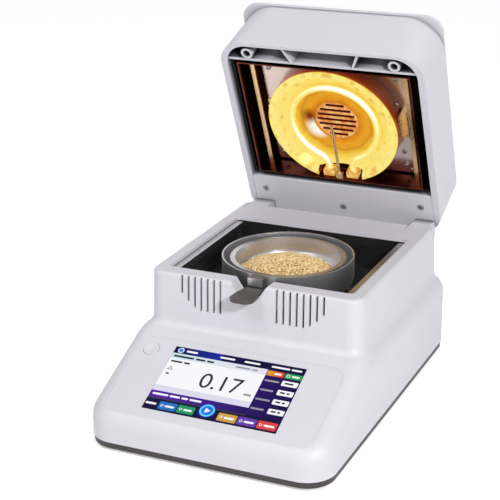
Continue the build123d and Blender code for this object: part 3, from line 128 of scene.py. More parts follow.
# %% [markdown]
# ## Colours and nodes
# Designers write colours as hex codes, which are sRGB. Shaders work in linear light, so one
# function converts them. A second function adds a shader node: it sets the node's own
# settings and fills its inputs, with values, with outputs or with whole nodes, which then
# stand for their first output. The short helpers after them say what a step does to a
# surface: lay one colour over another, colour by stops, raise a grain.


# %% Helpers for colours and nodes
def colour(code):
    """An sRGB hex colour as linear RGBA."""
    channels = [int(code[i : i + 2], 16) / 255 for i in (0, 2, 4)]
    return [v / 12.92 if v <= 0.04045 else ((v + 0.055) / 1.055) ** 2.4 for v in channels] + [1.0]


def add(tree, kind, inputs=None, **settings):
    """Adds a node with its settings; an input is a value, an output or a node."""
    node = tree.nodes.new(kind)
    for name, value in settings.items():
        setattr(node, name, value)
    for name, value in (inputs or {}).items():
        if isinstance(value, bpy.types.Node):
            value = value.outputs[0]
        if isinstance(value, bpy.types.NodeSocket):
            tree.links.new(value, node.inputs[name])
        else:
            node.inputs[name].default_value = value
    return node


def new_finish(name):
    """A new material, its node tree and its surface shader."""
    finish = bpy.data.materials.new(name)
    finish.use_nodes = True
    tree = finish.node_tree
    return finish, tree, tree.nodes["Principled BSDF"]


def set_inputs(shader, **values):
    """Plain values on a shader's own sockets; an underscore in a name stands for a space."""
    for name, value in values.items():
        shader.inputs[name.replace("_", " ")].default_value = value


def lay_over(tree, under, over, share):
    """One colour over another where share is 1; each is a hex code or an output."""
    inputs = {"Factor": share}
    for place, tone in ((6, under), (7, over)):
        inputs[place] = colour(tone) if isinstance(tone, str) else tone
    return add(tree, "ShaderNodeMix", inputs, data_type="RGBA").outputs[2]


def colour_stops(tree, share, stops):
    """Colours by (position, hex) stops along a share from 0 to 1."""
    ramp = add(tree, "ShaderNodeValToRGB", {"Fac": share})
    elements = ramp.color_ramp.elements
    while len(elements) < len(stops):
        elements.new(0.5)
    for element, (position, code) in zip(elements, stops):
        element.position = position
        element.color = colour(code)
    return ramp.outputs["Color"]


def two_tones(tree, shader, low, high, share):
    """Mixes two hex colours by a share into the shader's base colour."""
    tree.links.new(lay_over(tree, low, high, share), shader.inputs["Base Color"])


def grain_noise(tree, size_mm, detail=2.0, stretch=(1, 1, 1)):
    """Noise whose blobs are about size_mm across, in the piece's own space."""
    place = add(tree, "ShaderNodeTexCoord").outputs["Object"]
    place = add(tree, "ShaderNodeVectorMath", {0: place, 1: stretch}, operation="MULTIPLY")
    noise = add(tree, "ShaderNodeTexNoise", {"Vector": place, "Scale": 1 / (size_mm * MM), "Detail": detail})
    return noise.outputs["Fac"]


def bump(tree, shader, height, depth_mm):
    """Raises the surface by a height pattern of a real depth."""
    node = add(tree, "ShaderNodeBump", {"Height": height, "Distance": depth_mm * MM})
    tree.links.new(node.outputs["Normal"], shader.inputs["Normal"])


print("white in linear light:", colour("FFFFFF")[:3])

# %% [markdown]
# ## Moulded ABS
# The housing and the lid are injection-moulded ABS. The mould is spark-eroded, which leaves
# a fine dull grain on every outside face, so highlights are broad and soft. The grain is
# about 0.4 mm across. The colour is a cool white with a little lavender in it, and it varies
# by a hair from place to place, as thick mouldings do. The pockets between the lid's ribs
# get little light and look nearly black. A few bounces of traced light don't show that, so
# the lid's colour darkens where an ambient occlusion node finds a narrow hollow.

# %% Moulded plastics
CLOUD_MM = 60.0
HOLLOW_REACH_MM = 16
ABS_IOR = 1.53


def moulded_plastic(name, low, high, roughness, grain_mm=0.4, depth_mm=0.012, hollow_shade=None):
    """Plastic with a fine moulded grain; the last argument, if given, is the painted shade of its deep pockets."""
    finish, tree, shader = new_finish(name)
    tone = lay_over(tree, low, high, grain_noise(tree, CLOUD_MM))
    # Painted shade: where ambient occlusion finds a narrow hollow, the colour darkens towards the shade colour.
    if hollow_shade:
        openness = add(tree, "ShaderNodeAmbientOcclusion", {"Distance": HOLLOW_REACH_MM * MM}, samples=8)
        share = add(
            tree, "ShaderNodeMapRange", {"Value": openness.outputs["AO"], "From Min": 0.3, "From Max": 0.72}
        )
        tone = lay_over(tree, hollow_shade, tone, share)
    tree.links.new(tone, shader.inputs["Base Color"])
    bump(tree, shader, grain_noise(tree, grain_mm, detail=3.0), depth_mm)
    set_inputs(shader, Roughness=roughness, IOR=ABS_IOR)
    return finish


pale_abs = moulded_plastic("spark_eroded_pale_abs", "C9C7CE", "CFCDD4", 0.46)
lid_abs = moulded_plastic("spark_eroded_lid_abs", "C9C7CE", "CFCDD4", 0.46, hollow_shade="3A3A42")
tray_abs = moulded_plastic("spark_eroded_dark_abs", "2B2524", "322B2A", 0.5)
black_polyamide = moulded_plastic("moulded_black_polyamide", "1A1A1B", "202021", 0.42)
tab_phenolic = moulded_plastic("pressed_brown_phenolic", "342E2C", "403836", 0.36, depth_mm=0.006)
print("plastics:", pale_abs.name, lid_abs.name, tray_abs.name, black_polyamide.name, tab_phenolic.name)

# %% [markdown]
# ## Steel and aluminium sheet
# The trims are rolled stainless sheet, whose fine rolling lines stretch the highlights along
# one direction. The pan holder is drawn from the same sheet, which dulls it a little. The
# pan is thin pressed aluminium, lightly scuffed from use. Fasteners are zinc-plated. The
# grain of each metal is only hundredths of a millimetre, too fine to show, so it is drawn
# coarser, as faint changes in colour and roughness.


# %% Sheet metals
def sheet_metal(name, low, high, rough_low, rough_high, line_mm=0.5, stretch=(1, 1, 1)):
    """Metal whose colour and roughness vary a little along its rolling lines."""
    finish, tree, shader = new_finish(name)
    lines = grain_noise(tree, line_mm, detail=4.0, stretch=stretch)
    two_tones(tree, shader, low, high, lines)
    rough = add(tree, "ShaderNodeMapRange", {"Value": lines, "To Min": rough_low, "To Max": rough_high})
    tree.links.new(rough.outputs[0], shader.inputs["Roughness"])
    set_inputs(shader, Metallic=1.0)
    return finish


stainless = sheet_metal("rolled_stainless_sheet", "A9A8AA", "C1C0C2", 0.24, 0.34, stretch=(0.08, 1, 1))
zinc_steel = sheet_metal("zinc_plated_steel", "A7A5A3", "C4C2BF", 0.25, 0.4)
drawn_steel = sheet_metal(
    "drawn_stainless", "BBBABC", "D6D5D7", 0.34, 0.46, line_mm=1.0, stretch=(1, 1, 0.1)
)
pan_aluminium = sheet_metal("pressed_aluminium", "C6C5C6", "DCDBDC", 0.24, 0.36, line_mm=1.2)
cell_aluminium = sheet_metal("machined_aluminium", "BFC0C2", "D6D7D9", 0.25, 0.4, stretch=(1, 0.1, 1))
print("metals:", stainless.name, zinc_steel.name, drawn_steel.name, pan_aluminium.name)

# %% [markdown]
# ## Rubber and enamel
# The feet are rubber, dull and nearly black. The chamber is sheet steel with baked black
# enamel, a thick glossy coat with a faint orange peel. A high IOR stands in for the bright
# reflections that such a coat gives at a low angle.


# %% Rubber and enamel
def dull_rubber(name):
    finish, tree, shader = new_finish(name)
    dust = grain_noise(tree, 3.0, detail=5.0)
    two_tones(tree, shader, "151515", "202020", dust)
    bump(tree, shader, dust, 0.03)
    set_inputs(shader, Roughness=0.8, IOR=1.52)
    return finish


def baked_enamel(name):
    finish, tree, shader = new_finish(name)
    two_tones(tree, shader, "1A1A1B", "262526", grain_noise(tree, 25.0, detail=3.0))
    bump(tree, shader, grain_noise(tree, 1.6, detail=1.0), 0.01)
    set_inputs(shader, Roughness=0.14, IOR=2.1)
    return finish


rubber = dull_rubber("dull_black_rubber")
enamel = baked_enamel("baked_black_enamel")
print("coats:", rubber.name, enamel.name)

# %% [markdown]
# ## Light from the heater
# The heater glows. Most of what the dish shows is light of the lamp bounced many times,
# which is slow to trace, so its pieces get a little emission of their own. It is full for
# the camera, lower in reflections and very low as a light source, because a photographer
# exposes for the lamp and the rest of the picture stays cool. The patterns on the dish are
# placed in the lid's own directions, in millimetres from the middle of the dish: x to the
# right, y towards the hinge, z into the lid. One mapping node turns the open lid's places
# into these.

# %% Glow and places in the lid
DISH_ALONG = 60.0
dish_middle = lid_matrix(0, DISH_ALONG, 0).translation
dish_low, dish_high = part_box("reflector_dish")
dish_radius = (dish_high.x - dish_low.x) / 2 / MM


def set_glow(tree, shader, tone, for_camera, for_mirrors, for_light):
    """Emission that differs for the camera, for reflections and for the light it casts."""
    tree.links.new(tone, shader.inputs["Emission Color"])
    rays = add(tree, "ShaderNodeLightPath").outputs
    seen = add(
        tree, "ShaderNodeMapRange", {"Value": rays["Is Camera Ray"], "To Min": for_light, "To Max": for_camera}
    )
    mirrored = add(
        tree, "ShaderNodeMapRange", {"Value": rays["Is Glossy Ray"], "To Max": for_mirrors - for_light}
    )
    total = add(tree, "ShaderNodeMath", {0: seen, 1: mirrored}, operation="ADD")
    tree.links.new(total.outputs[0], shader.inputs["Emission Strength"])


def place_in_lid(tree):
    """The place in the lid's plane, the radius from the dish's middle, and the depth, in mm."""
    place = add(
        tree,
        "ShaderNodeMapping",
        {
            "Vector": add(tree, "ShaderNodeTexCoord").outputs["Object"],
            "Location": dish_middle,
            "Rotation": (-lid_open, 0, 0),
            "Scale": (MM, MM, MM),
        },
        vector_type="TEXTURE",
    )
    flat = add(tree, "ShaderNodeVectorMath", {0: place, 1: (1, 1, 0)}, operation="MULTIPLY")
    radius = add(tree, "ShaderNodeVectorMath", {0: flat}, operation="LENGTH").outputs["Value"]
    depth = add(tree, "ShaderNodeSeparateXYZ", {0: place}).outputs["Z"]
    return flat, radius, depth


print("dish middle:", tuple(round(v, 4) for v in dish_middle), "radius in mm:", round(dish_radius, 1))

# %% [markdown]
# ## The reflector dish
# The dish is spun and polished aluminium. Its painted glow is bright yellow round the lamp and orange
# near the grille, with fine turning lines in its middle, darker orange blots, one painted
# white reflection of the lamp at the lower left of the grille and a dark red one above it.
# Its skirt faces away from the lamp and stays dark red. All this could be painted in one
# image, but each part follows from a radius, a depth or a spot, so it is built from those.

# %% Lit dish
dish_glow = [
    (18, "C8700F"), (22, "E8921B"), (27, "F2AE2A"), (31, "DC9A22"), (35, "F4C43C"),
    (39, "FBD954"), (44, "FFEA7A"), (49, "FDE67C"), (54, "FFF090"), (58, "FFF06A"),
]
glow_reach = 64.0
ragged = 9.0
grille_edge = 21.0
skirt_from, skirt_to = 5.2, 6.31
skirt_glow = [(0.25, "B4511C"), (0.45, "7C2A12"), (0.8, "4A1A10")]


def soft_spot(tree, flat, middle, reach, core):
    """A share that is 1 within core and 0 beyond reach of a place in the lid, in mm."""
    away = add(tree, "ShaderNodeVectorMath", {0: flat, 1: (*middle, 0)}, operation="DISTANCE")
    return add(
        tree, "ShaderNodeMapRange", {"Value": away.outputs["Value"], "From Min": reach, "From Max": core}
    )


def turning_lines(tree, radius):
    """Fine rings about 1.6 mm apart that fade out towards the lamp."""
    along_radius = add(tree, "ShaderNodeCombineXYZ", {"X": radius})
    rings = add(tree, "ShaderNodeTexNoise", {"Vector": along_radius, "Scale": 1 / 1.6, "Detail": 2.0})
    lines = add(
        tree, "ShaderNodeMapRange", {"Value": rings.outputs["Fac"], "From Min": 0.47, "From Max": 0.27}
    )
    inside = add(tree, "ShaderNodeMapRange", {"Value": radius, "From Min": 46.0, "From Max": 28.3})
    return add(tree, "ShaderNodeMath", {0: lines, 1: inside}, operation="MULTIPLY")


def spun_dish(name):
    finish, tree, shader = new_finish(name)
    flat, radius, depth = place_in_lid(tree)
    patches = grain_noise(tree, 11.0, detail=4.0)
    uneven = add(tree, "ShaderNodeMath", {0: patches, 1: ragged, 2: radius}, operation="MULTIPLY_ADD")
    share = add(
        tree,
        "ShaderNodeMapRange",
        {"Value": uneven, "From Min": ragged / 2, "From Max": glow_reach + ragged / 2},
    )
    tone = colour_stops(tree, share, [(mm / glow_reach, code) for mm, code in dish_glow])
    tone = lay_over(tree, tone, "A8620E", turning_lines(tree, radius))
    # Darker orange blots in the painted glow.
    blots = grain_noise(tree, 7.0, detail=5.0)
    blots = add(
        tree, "ShaderNodeMapRange", {"Value": blots, "From Min": 0.54, "From Max": 0.7067, "To Max": 0.6}
    )
    tone = lay_over(tree, tone, "E39A22", blots)
    flash = soft_spot(tree, flat, (-17, 9), 13, 6.5)
    past_grille = add(tree, "ShaderNodeMath", {0: radius, 1: grille_edge}, operation="GREATER_THAN")
    flash = add(tree, "ShaderNodeMath", {0: flash, 1: past_grille}, operation="MULTIPLY")
    tone = lay_over(tree, tone, "FFFDF0", flash)
    tone = lay_over(tree, tone, "7A2A06", soft_spot(tree, flat, (-24, -2), 9, 1.5))
    below_rim = add(
        tree, "ShaderNodeMapRange", {"Value": depth, "From Min": skirt_from, "From Max": skirt_to}
    )
    outside = add(tree, "ShaderNodeMath", {0: radius, 1: dish_radius - 1.6}, operation="GREATER_THAN")
    skirt = add(tree, "ShaderNodeMath", {0: below_rim, 1: outside}, operation="MULTIPLY")
    skirt_share = add(tree, "ShaderNodeMapRange", {"Value": depth, "From Max": 20.0})
    tone = lay_over(tree, tone, colour_stops(tree, skirt_share, skirt_glow), skirt)
    set_glow(tree, shader, tone, 0.92, 0.35, 0.05)
    set_inputs(shader, Base_Color=colour("4A3018"), Metallic=1.0, Roughness=0.25)
    return finish


lit_dish = spun_dish("spun_reflector_lit")
print("glow stops on the dish:", len(dish_glow))

# %% [markdown]
# ## Grille, lamp and sockets
# The grille is the same sheet with slots. Its bars face the lamp and glow orange, and the
# cut edges of the slots stay dark red. The lamp is a quartz tube with a white-hot filament
# along its middle, so its colour goes by the slant of the glass: white where the eye looks
# straight in, yellow at the sides. The sockets are ceramic, lit by the lamp's ends.

# %% Lit grille, tube and sockets
bar_edge_from, bar_edge_to = 16.1, 16.35
tube_ripple = 0.12
tube_tones = [
    (0.0, "FFFFFF"), (0.1, "FFFEF2"), (0.2, "FFF0B0"), (0.32, "F6D468"), (0.7, "EDBE4C"), (0.92, "FFF6C8"),
]


def lit_bars(name):
    finish, tree, shader = new_finish(name)
    flat, radius, depth = place_in_lid(tree)
    patches = grain_noise(tree, 6.0, detail=3.0)
    front = colour_stops(tree, patches, [(0.3, "D8762A"), (0.5, "F0A860"), (0.68, "FFDA98")])
    edge = add(
        tree, "ShaderNodeMapRange", {"Value": depth, "From Min": bar_edge_from, "From Max": bar_edge_to}
    )
    set_glow(tree, shader, lay_over(tree, front, "6E1C08", edge), 0.85, 0.4, 0.04)
    set_inputs(shader, Base_Color=colour("5A3414"), Metallic=1.0, Roughness=0.35)
    return finish


def white_hot(name):
    finish, tree, shader = new_finish(name)
    slant = add(tree, "ShaderNodeLayerWeight", {"Blend": 0.5}).outputs["Facing"]
    ripple = grain_noise(tree, 5.0)
    uneven = add(tree, "ShaderNodeMath", {0: ripple, 1: tube_ripple, 2: slant}, operation="MULTIPLY_ADD")
    share = add(
        tree,
        "ShaderNodeMapRange",
        {"Value": uneven, "From Min": tube_ripple / 2, "From Max": 1 + tube_ripple / 2},
    )
    set_glow(tree, shader, colour_stops(tree, share, tube_tones), 1.05, 0.9, 0.16)
    set_inputs(shader, Base_Color=colour("6A5A38"), Roughness=0.1, IOR=1.46)
    return finish


def lamp_lit_ceramic(name):
    finish, tree, shader = new_finish(name)
    speckle = grain_noise(tree, 2.5, detail=4.0)
    tone = colour_stops(tree, speckle, [(0.3, "B4661E"), (0.5, "E8A83C"), (0.7, "FFE69A")])
    set_glow(tree, shader, tone, 0.75, 0.4, 0.05)
    set_inputs(shader, Base_Color=colour("8A6A3C"), Roughness=0.4, IOR=1.6)
    return finish


lit_grille = lit_bars("grille_sheet_lit")
hot_quartz = white_hot("lit_quartz_tube")
lit_ceramic = lamp_lit_ceramic("lamp_lit_ceramic")
print("lamp:", lit_grille.name, hot_quartz.name, lit_ceramic.name)

# %% [markdown]
# ## Sheets round the dish
# The heater box is the same stainless sheet, streaked dark brown and red. The
# plate round the dish is polished and only faintly pink. The small rails, clamps and probe
# close to the lamp take its gold. Behind the box lies a pad of pale mineral fibre board.


# %% Sheets round the dish
def fibre_board(name):
    finish, tree, shader = new_finish(name)
    fibres = grain_noise(tree, 1.0, detail=6.0, stretch=(1, 0.2, 1))
    two_tones(tree, shader, "CFC9BB", "E4DFD3", fibres)
    bump(tree, shader, fibres, 0.2)
    set_inputs(shader, Roughness=0.95)
    return finish


# The heater box: polished sheet streaked dark brown and red.
streaked_box_sheet = sheet_metal(
    "brown_red_streaked_sheet", "2A1E1C", "8A4A38", 0.12, 0.3, line_mm=9.0, stretch=(1, 0.25, 0.25)
)
warm_steel = sheet_metal("lamp_lit_steel", "D6AE74", "F2D8A6", 0.22, 0.34, line_mm=6.0)
reflector_sheet = sheet_metal("polished_reflector_sheet", "C9B2A8", "E2D0C8", 0.14, 0.28, line_mm=3.0)
pale_fibre = fibre_board("pale_fibre_board")
print("heater sheets:", streaked_box_sheet.name, warm_steel.name, reflector_sheet.name, pale_fibre.name)

# %% [markdown]
# ## Boards, bushes and cover glass
# Circuit boards are glass fibre with a green solder mask, and white bearing plastic lines
# the hinge. They are seen only when the object is taken apart, so they stay simple. The
# screen's cover glass is nearly black when nothing is lit behind it.


# %% Boards, bearing plastic and cover glass
def solder_mask(name):
    finish, tree, shader = new_finish(name)
    place = add(tree, "ShaderNodeTexCoord").outputs["Object"]
    tracks = add(tree, "ShaderNodeTexBrick", {"Vector": place, "Scale": 1 / (14 * MM)})
    two_tones(tree, shader, "0F4A26", "1C6B38", tracks.outputs["Fac"])
    set_inputs(shader, Roughness=0.3, IOR=1.55)
    return finish


def cover_glass(name):
    finish, tree, shader = new_finish(name)
    two_tones(tree, shader, "07081C", "0B0D28", grain_noise(tree, 20.0, detail=3.0))
    set_inputs(shader, Roughness=0.06, IOR=1.5)
    return finish


green_board = solder_mask("green_circuit_board")
bearing_plastic = moulded_plastic("white_acetal", "DEDDD8", "E8E7E3", 0.35)
dark_glass = cover_glass("dark_cover_glass")
print("inside finishes:", green_board.name, bearing_plastic.name, dark_glass.name)

# %% [markdown]
# ## Grain
# The sample is a heap of small pale seeds. Each seed has its own shade between straw and
# brown, which the Random Per Island output gives for free when all seeds are one mesh. The
# mound below them is painted darker, with the shade of the gaps between real seeds.

# %% Grain finish
seed_shades = [(0.0, "B48A4C"), (0.3, "D8B67C"), (0.7, "E6CC98"), (1.0, "F4E4BC")]


def seed_coat(name):
    finish, tree, shader = new_finish(name)
    island = add(tree, "ShaderNodeNewGeometry").outputs["Random Per Island"]
    tree.links.new(colour_stops(tree, island, seed_shades), shader.inputs["Base Color"])
    set_inputs(shader, Roughness=0.55, IOR=1.45)
    return finish


# Painted shade: the mound's dark brown stands for the shade in the gaps between seeds.
def heap_shade(name):
    finish, tree, shader = new_finish(name)
    lumps = grain_noise(tree, 1.4)
    two_tones(tree, shader, "6B4E26", "A07E48", lumps)
    bump(tree, shader, lumps, 0.4)
    set_inputs(shader, Roughness=0.8)
    return finish


seed_finish = seed_coat("seed_coat")
heap_finish = heap_shade("shaded_seeds")
print("grain:", seed_finish.name, heap_finish.name)

# %% [markdown]
# ## Finishes on the CAD pieces
# The record says which material slot each CAD node belongs to. One table gives each slot its
# finish, and a few nodes that differ from their slot get their own.

# %% Assign finishes
finish_of_slot = {
    "housing_plastic": pale_abs,
    "dark_tray_plastic": tray_abs,
    "foot_rubber": rubber,
    "screw_steel": zinc_steel,
    "screen_glass": dark_glass,
    "module_plastic": black_polyamide,
    "board_green": green_board,
    "switch_plastic": black_polyamide,
    "chamber_black": enamel,
    "bright_steel": stainless,
    "cell_aluminium": cell_aluminium,
    "pan_aluminium": pan_aluminium,
    "grain": heap_finish,
    "tab_plastic": tab_phenolic,
    "port_metal": zinc_steel,
    "bush_plastic": bearing_plastic,
    "insulation": pale_fibre,
    "reflector_metal": reflector_sheet,
    "lamp_glass": hot_quartz,
    "ceramic": lit_ceramic,
}
finish_of_node = {
    "reflector_dish": lit_dish,
    "vent_grille": lit_grille,
    "lid_shell": lid_abs,
    "heater_box": streaked_box_sheet,
    "side_rails": warm_steel,
    "temperature_probe": warm_steel,
    "dish_clamps": warm_steel,
    "pan_holder": drawn_steel,
}
for part in frame["record"]["subparts"]:
    piece = nodes[part["node"]]
    finish = finish_of_node.get(part["node"], finish_of_slot[part["material_slot"]])
    if not piece.material_slots:
        piece.data.materials.append(finish)
    for place in piece.material_slots:
        place.material = finish


# %% [markdown]
# ## Making meshes
# Small details are built as meshes from points. One helper turns a list of vertices and
# faces into an object that rides on a CAD body, so that it moves with its joint.


# %% Mesh helper
def new_piece(name, vertices, faces, finishes, body, indices=None, place=None, smooth=False):
    """A mesh object in the row frame that rides on a CAD body."""
    mesh = bpy.data.meshes.new(name)
    mesh.from_pydata([tuple(v) for v in vertices], [], faces)
    for finish in finishes:
        mesh.materials.append(finish)
    if indices:
        mesh.polygons.foreach_set("material_index", indices)
    if smooth:
        mesh.shade_smooth()
    mesh.update()
    piece = bpy.data.objects.new(name, mesh)
    bpy.context.collection.objects.link(piece)
    if place is not None:
        piece.matrix_world = place
    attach(piece, body)
    return piece


# %% [markdown]
# ## Seeds in the pan
# A heap of seeds looks right only if its outline is made of seeds. The CAD has one smooth
# mound, which stays as the shaded core. Seeds are laid over it on a sunflower spiral, which
# spreads points evenly without rows, and each is turned and nudged at random. A few more lie
# loose on the pan's floor round the foot of the heap. The random numbers are seeded, so the
# heap is the same each time.

# %% One seed and the mound
seed_size = Vector((1.05, 0.78, 0.62)) * MM
seed_taper = 0.18
heap_low, heap_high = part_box("sample_grain")
heap_middle = (heap_low + heap_high) / 2
heap_radius = (heap_high.x - heap_low.x) / 2
heap_rise = heap_high.z - heap_low.z
ball_radius = (heap_radius**2 + heap_rise**2) / (2 * heap_rise)


def heap_height(radius):
    """Height of the mound's surface at a distance from its middle."""
    if radius >= heap_radius:
        return heap_low.z
    return heap_high.z - ball_radius + math.sqrt(ball_radius**2 - radius**2)


def seed_mesh():
    """One seed: a small tapered ball of eighty faces, as points and faces."""
    ball = bmesh.new()
    bmesh.ops.create_icosphere(ball, subdivisions=2, radius=1.0)
    points = [Vector((v.co.x, v.co.y * (1 - seed_taper * v.co.x), v.co.z)) for v in ball.verts]
    faces = [[v.index for v in face.verts] for face in ball.faces]
    ball.free()
    return points, faces


seed_points, seed_faces = seed_mesh()
print("mound radius and rise in mm:", round(heap_radius / MM, 1), round(heap_rise / MM, 1))

# %% Strew the seeds
seed_random = random.Random(7)
heap_seed_count = 1750
loose_seed_count = 190
golden_turn = math.pi * (3 - math.sqrt(5))
seed_nudge = 0.25
seed_tilt = 0.35
all_points, all_faces = [], []
for number in range(heap_seed_count + loose_seed_count):
    in_heap = number < heap_seed_count
    if in_heap:
        reach = heap_radius * math.sqrt((number + 0.5) / heap_seed_count)
        swing = number * golden_turn
    else:
        reach = heap_radius + seed_random.triangular(-1.0, 3.4, -0.4) * MM
        swing = seed_random.uniform(0, 2 * math.pi)
    x = heap_middle.x + reach * math.cos(swing) + seed_random.gauss(0, seed_nudge) * MM
    y = heap_middle.y + reach * math.sin(swing) + seed_random.gauss(0, seed_nudge) * MM
    lift = seed_random.uniform(0.1, 0.55) * MM
    if not in_heap:
        lift = seed_size.z
    z = heap_height(math.hypot(x - heap_middle.x, y - heap_middle.y)) + lift
    turn = (
        Matrix.Rotation(seed_random.uniform(0, 2 * math.pi), 3, "Z")
        @ Matrix.Rotation(seed_random.gauss(0, seed_tilt), 3, "X")
        @ Matrix.Rotation(seed_random.gauss(0, seed_tilt), 3, "Y")
    )
    size = seed_size * seed_random.uniform(0.85, 1.15)
    first = len(all_points)
    for point in seed_points:
        scaled = Vector((point.x * size.x, point.y * size.y, point.z * size.z))
        all_points.append(Vector((x, y, z)) + turn @ scaled)
    all_faces += [[first + i for i in face] for face in seed_faces]
new_piece("grain_seeds", all_points, all_faces, [seed_finish], "weighing_group", smooth=True)
print("seeds:", heap_seed_count + loose_seed_count)

# %% [markdown]
# ## The lit screen
# A screen is a flat picture that shines by itself, so each coloured area is a thin plate
# with emission, just above the cover glass. The layout is drawn in the screen's own pixels,
# 800 wide and 480 high, counted from the top left. Places where such an instrument shows
# words carry plain bars instead, and only the reading is written out.

# %% Screen finishes
screen_pixel = 108.0 * MM / 800
screen_left = -400
screen_top = 240
screen_glow = 0.95
screen_finishes = []


def lit_area(name, code, far_code=None, across=None):
    """A lit screen colour; with across = (from, to) in dots it fades to a second colour."""
    finish, tree, shader = new_finish("screen_" + name)
    set_inputs(
        shader, Roughness=0.3, IOR=1.12, Base_Color=colour("020202"), Emission_Strength=screen_glow
    )
    if far_code:
        place = add(tree, "ShaderNodeTexCoord").outputs["Object"]
        ends = [(screen_left + dot) * screen_pixel for dot in across]
        share = add(
            tree,
            "ShaderNodeMapRange",
            {"Value": add(tree, "ShaderNodeSeparateXYZ", {0: place}), "From Min": ends[0], "From Max": ends[1]},
        )
        tree.links.new(lay_over(tree, code, far_code, share), shader.inputs["Emission Color"])
    else:
        set_inputs(shader, Emission_Color=colour(code))
    screen_finishes.append(finish)
    return len(screen_finishes) - 1


navy = lit_area("navy", "0C0F46", "1A2A9C", (0, 260))
night = lit_area("night", "15123F")
title_pale = lit_area("title", "D2ECF4", "E9E7F3", (0, 560))
white = lit_area("white", "FDFDFF")
pale_lilac = lit_area("lilac", "E2DFF2")
plum = lit_area("plum", "2A1166", "1A0C48", (590, 800))
violet = lit_area("violet", "5320A8", "17124E", (60, 660))
ink = lit_area("ink", "2E3038")
grey = lit_area("grey", "9A9AA6")
orange = lit_area("orange", "F09A22", "E2402A", (600, 690))
green = lit_area("green", "22A455")
blue = lit_area("blue", "2C74C6")
leaf = lit_area("leaf", "239A66")
gold = lit_area("gold", "D2A548")
purple = lit_area("purple", "6B43AE")
red = lit_area("red", "E34747")
halo = lit_area("halo", "2340C8")
cyan = lit_area("cyan", "6EDCFF")
azure = lit_area("azure", "1F7BE4")
print("screen dot in mm:", round(screen_pixel / MM, 3), "colours:", len(screen_finishes))

# %% [markdown]
# ## Drawing on the screen
# Each shape is one flat face on a numbered layer, a hair above the one below, so that faces
# never lie in one another. A bar with half-round ends stands for a word.

# %% Screen drawing tools
layer_step = 0.018 * MM
screen_shapes = {"points": [], "faces": [], "finish": []}


def screen_polygon(corners, layer, finish):
    """A flat area from corners in dots, on a numbered layer above the glass."""
    first = len(screen_shapes["points"])
    for x, y in corners:
        screen_shapes["points"].append(
            ((screen_left + x) * screen_pixel, (screen_top - y) * screen_pixel, layer * layer_step)
        )
    screen_shapes["faces"].append(list(range(first, first + len(corners)))[::-1])
    screen_shapes["finish"].append(finish)


def screen_box(x0, y0, x1, y1, layer, finish, corner=0):
    """A rectangle, with rounded corners if asked."""
    if not corner:
        screen_polygon([(x0, y0), (x1, y0), (x1, y1), (x0, y1)], layer, finish)
        return
    points = []
    for cx, cy, start in ((x1, y0, -90), (x1, y1, 0), (x0, y1, 90), (x0, y0, 180)):
        mx = cx - corner if cx == x1 else cx + corner
        my = cy - corner if cy == y1 else cy + corner
        for step in range(5):
            a = math.radians(start + step * 22.5)
            points.append((mx + corner * math.cos(a), my + corner * math.sin(a)))
    screen_polygon(points, layer, finish)


def screen_disc(x, y, radius, layer, finish):
    """A round area of forty sides."""
    turns = [2 * math.pi * step / 40 for step in range(40)]
    screen_polygon([(x + radius * math.cos(a), y + radius * math.sin(a)) for a in turns], layer, finish)


def word_bars(x, y, lengths, height, layer, finish):
    """A row of bars in place of words."""
    for length in lengths:
        screen_box(x, y, x + length, y + height, layer, finish, corner=height * 0.45)
        x += length + height * 0.7


print("layer step in mm:", layer_step / MM)

# %% Top bar and the field of the reading
column_left = 588
screen_box(0, 0, 800, 50, 2, navy)
screen_box(300, 0, 800, 50, 3, night)
screen_disc(40, 25, 19, 4, white)
screen_disc(40, 25, 13, 5, azure)
word_bars(75, 18, (70,), 14, 4, white)
for x, lengths in ((285, (92,)), (435, (96,)), (600, (110, 62))):
    word_bars(x, 18, lengths, 13, 4, white)
screen_box(0, 50, column_left, 92, 2, title_pale)
word_bars(14, 64, (128, 60, 44), 14, 3, ink)
word_bars(400, 66, (90, 36), 12, 3, grey)
screen_box(0, 92, column_left, 300, 2, white)
screen_box(0, 300, column_left, 342, 2, pale_lilac)
word_bars(14, 106, (72, 38), 13, 3, ink)
word_bars(520, 250, (50,), 14, 3, grey)
screen_polygon([(34, 150), (52, 178), (16, 178)], 3, ink)
screen_polygon([(34, 157), (45, 174), (23, 174)], 4, white)
screen_polygon([(20, 208), (34, 200), (48, 208), (34, 216)], 3, ink)
print("areas so far:", len(screen_shapes["faces"]))

# %% Settings column
screen_box(column_left, 50, 800, 392, 2, plum)
for left, finish in ((592, orange), (698, green)):
    screen_box(left, 54, left + 100, 92, 3, finish, corner=6)
screen_disc(612, 73, 12, 4, gold)
screen_disc(718, 73, 11, 4, white)
screen_disc(718, 73, 7, 5, green)
word_bars(634, 66, (44,), 13, 4, white)
word_bars(738, 66, (46,), 13, 4, white)
for row in range(4):
    top = 118 + row * 70
    word_bars(598, top + 4, (86 - 8 * (row % 2),), 13, 3, grey)
    screen_box(700, top - 8, 794, top + 30, 3, white, corner=6)
    word_bars(716, top + 4, (30, 18) if row else (54,), 12, 4, ink)
print("areas so far:", len(screen_shapes["faces"]))

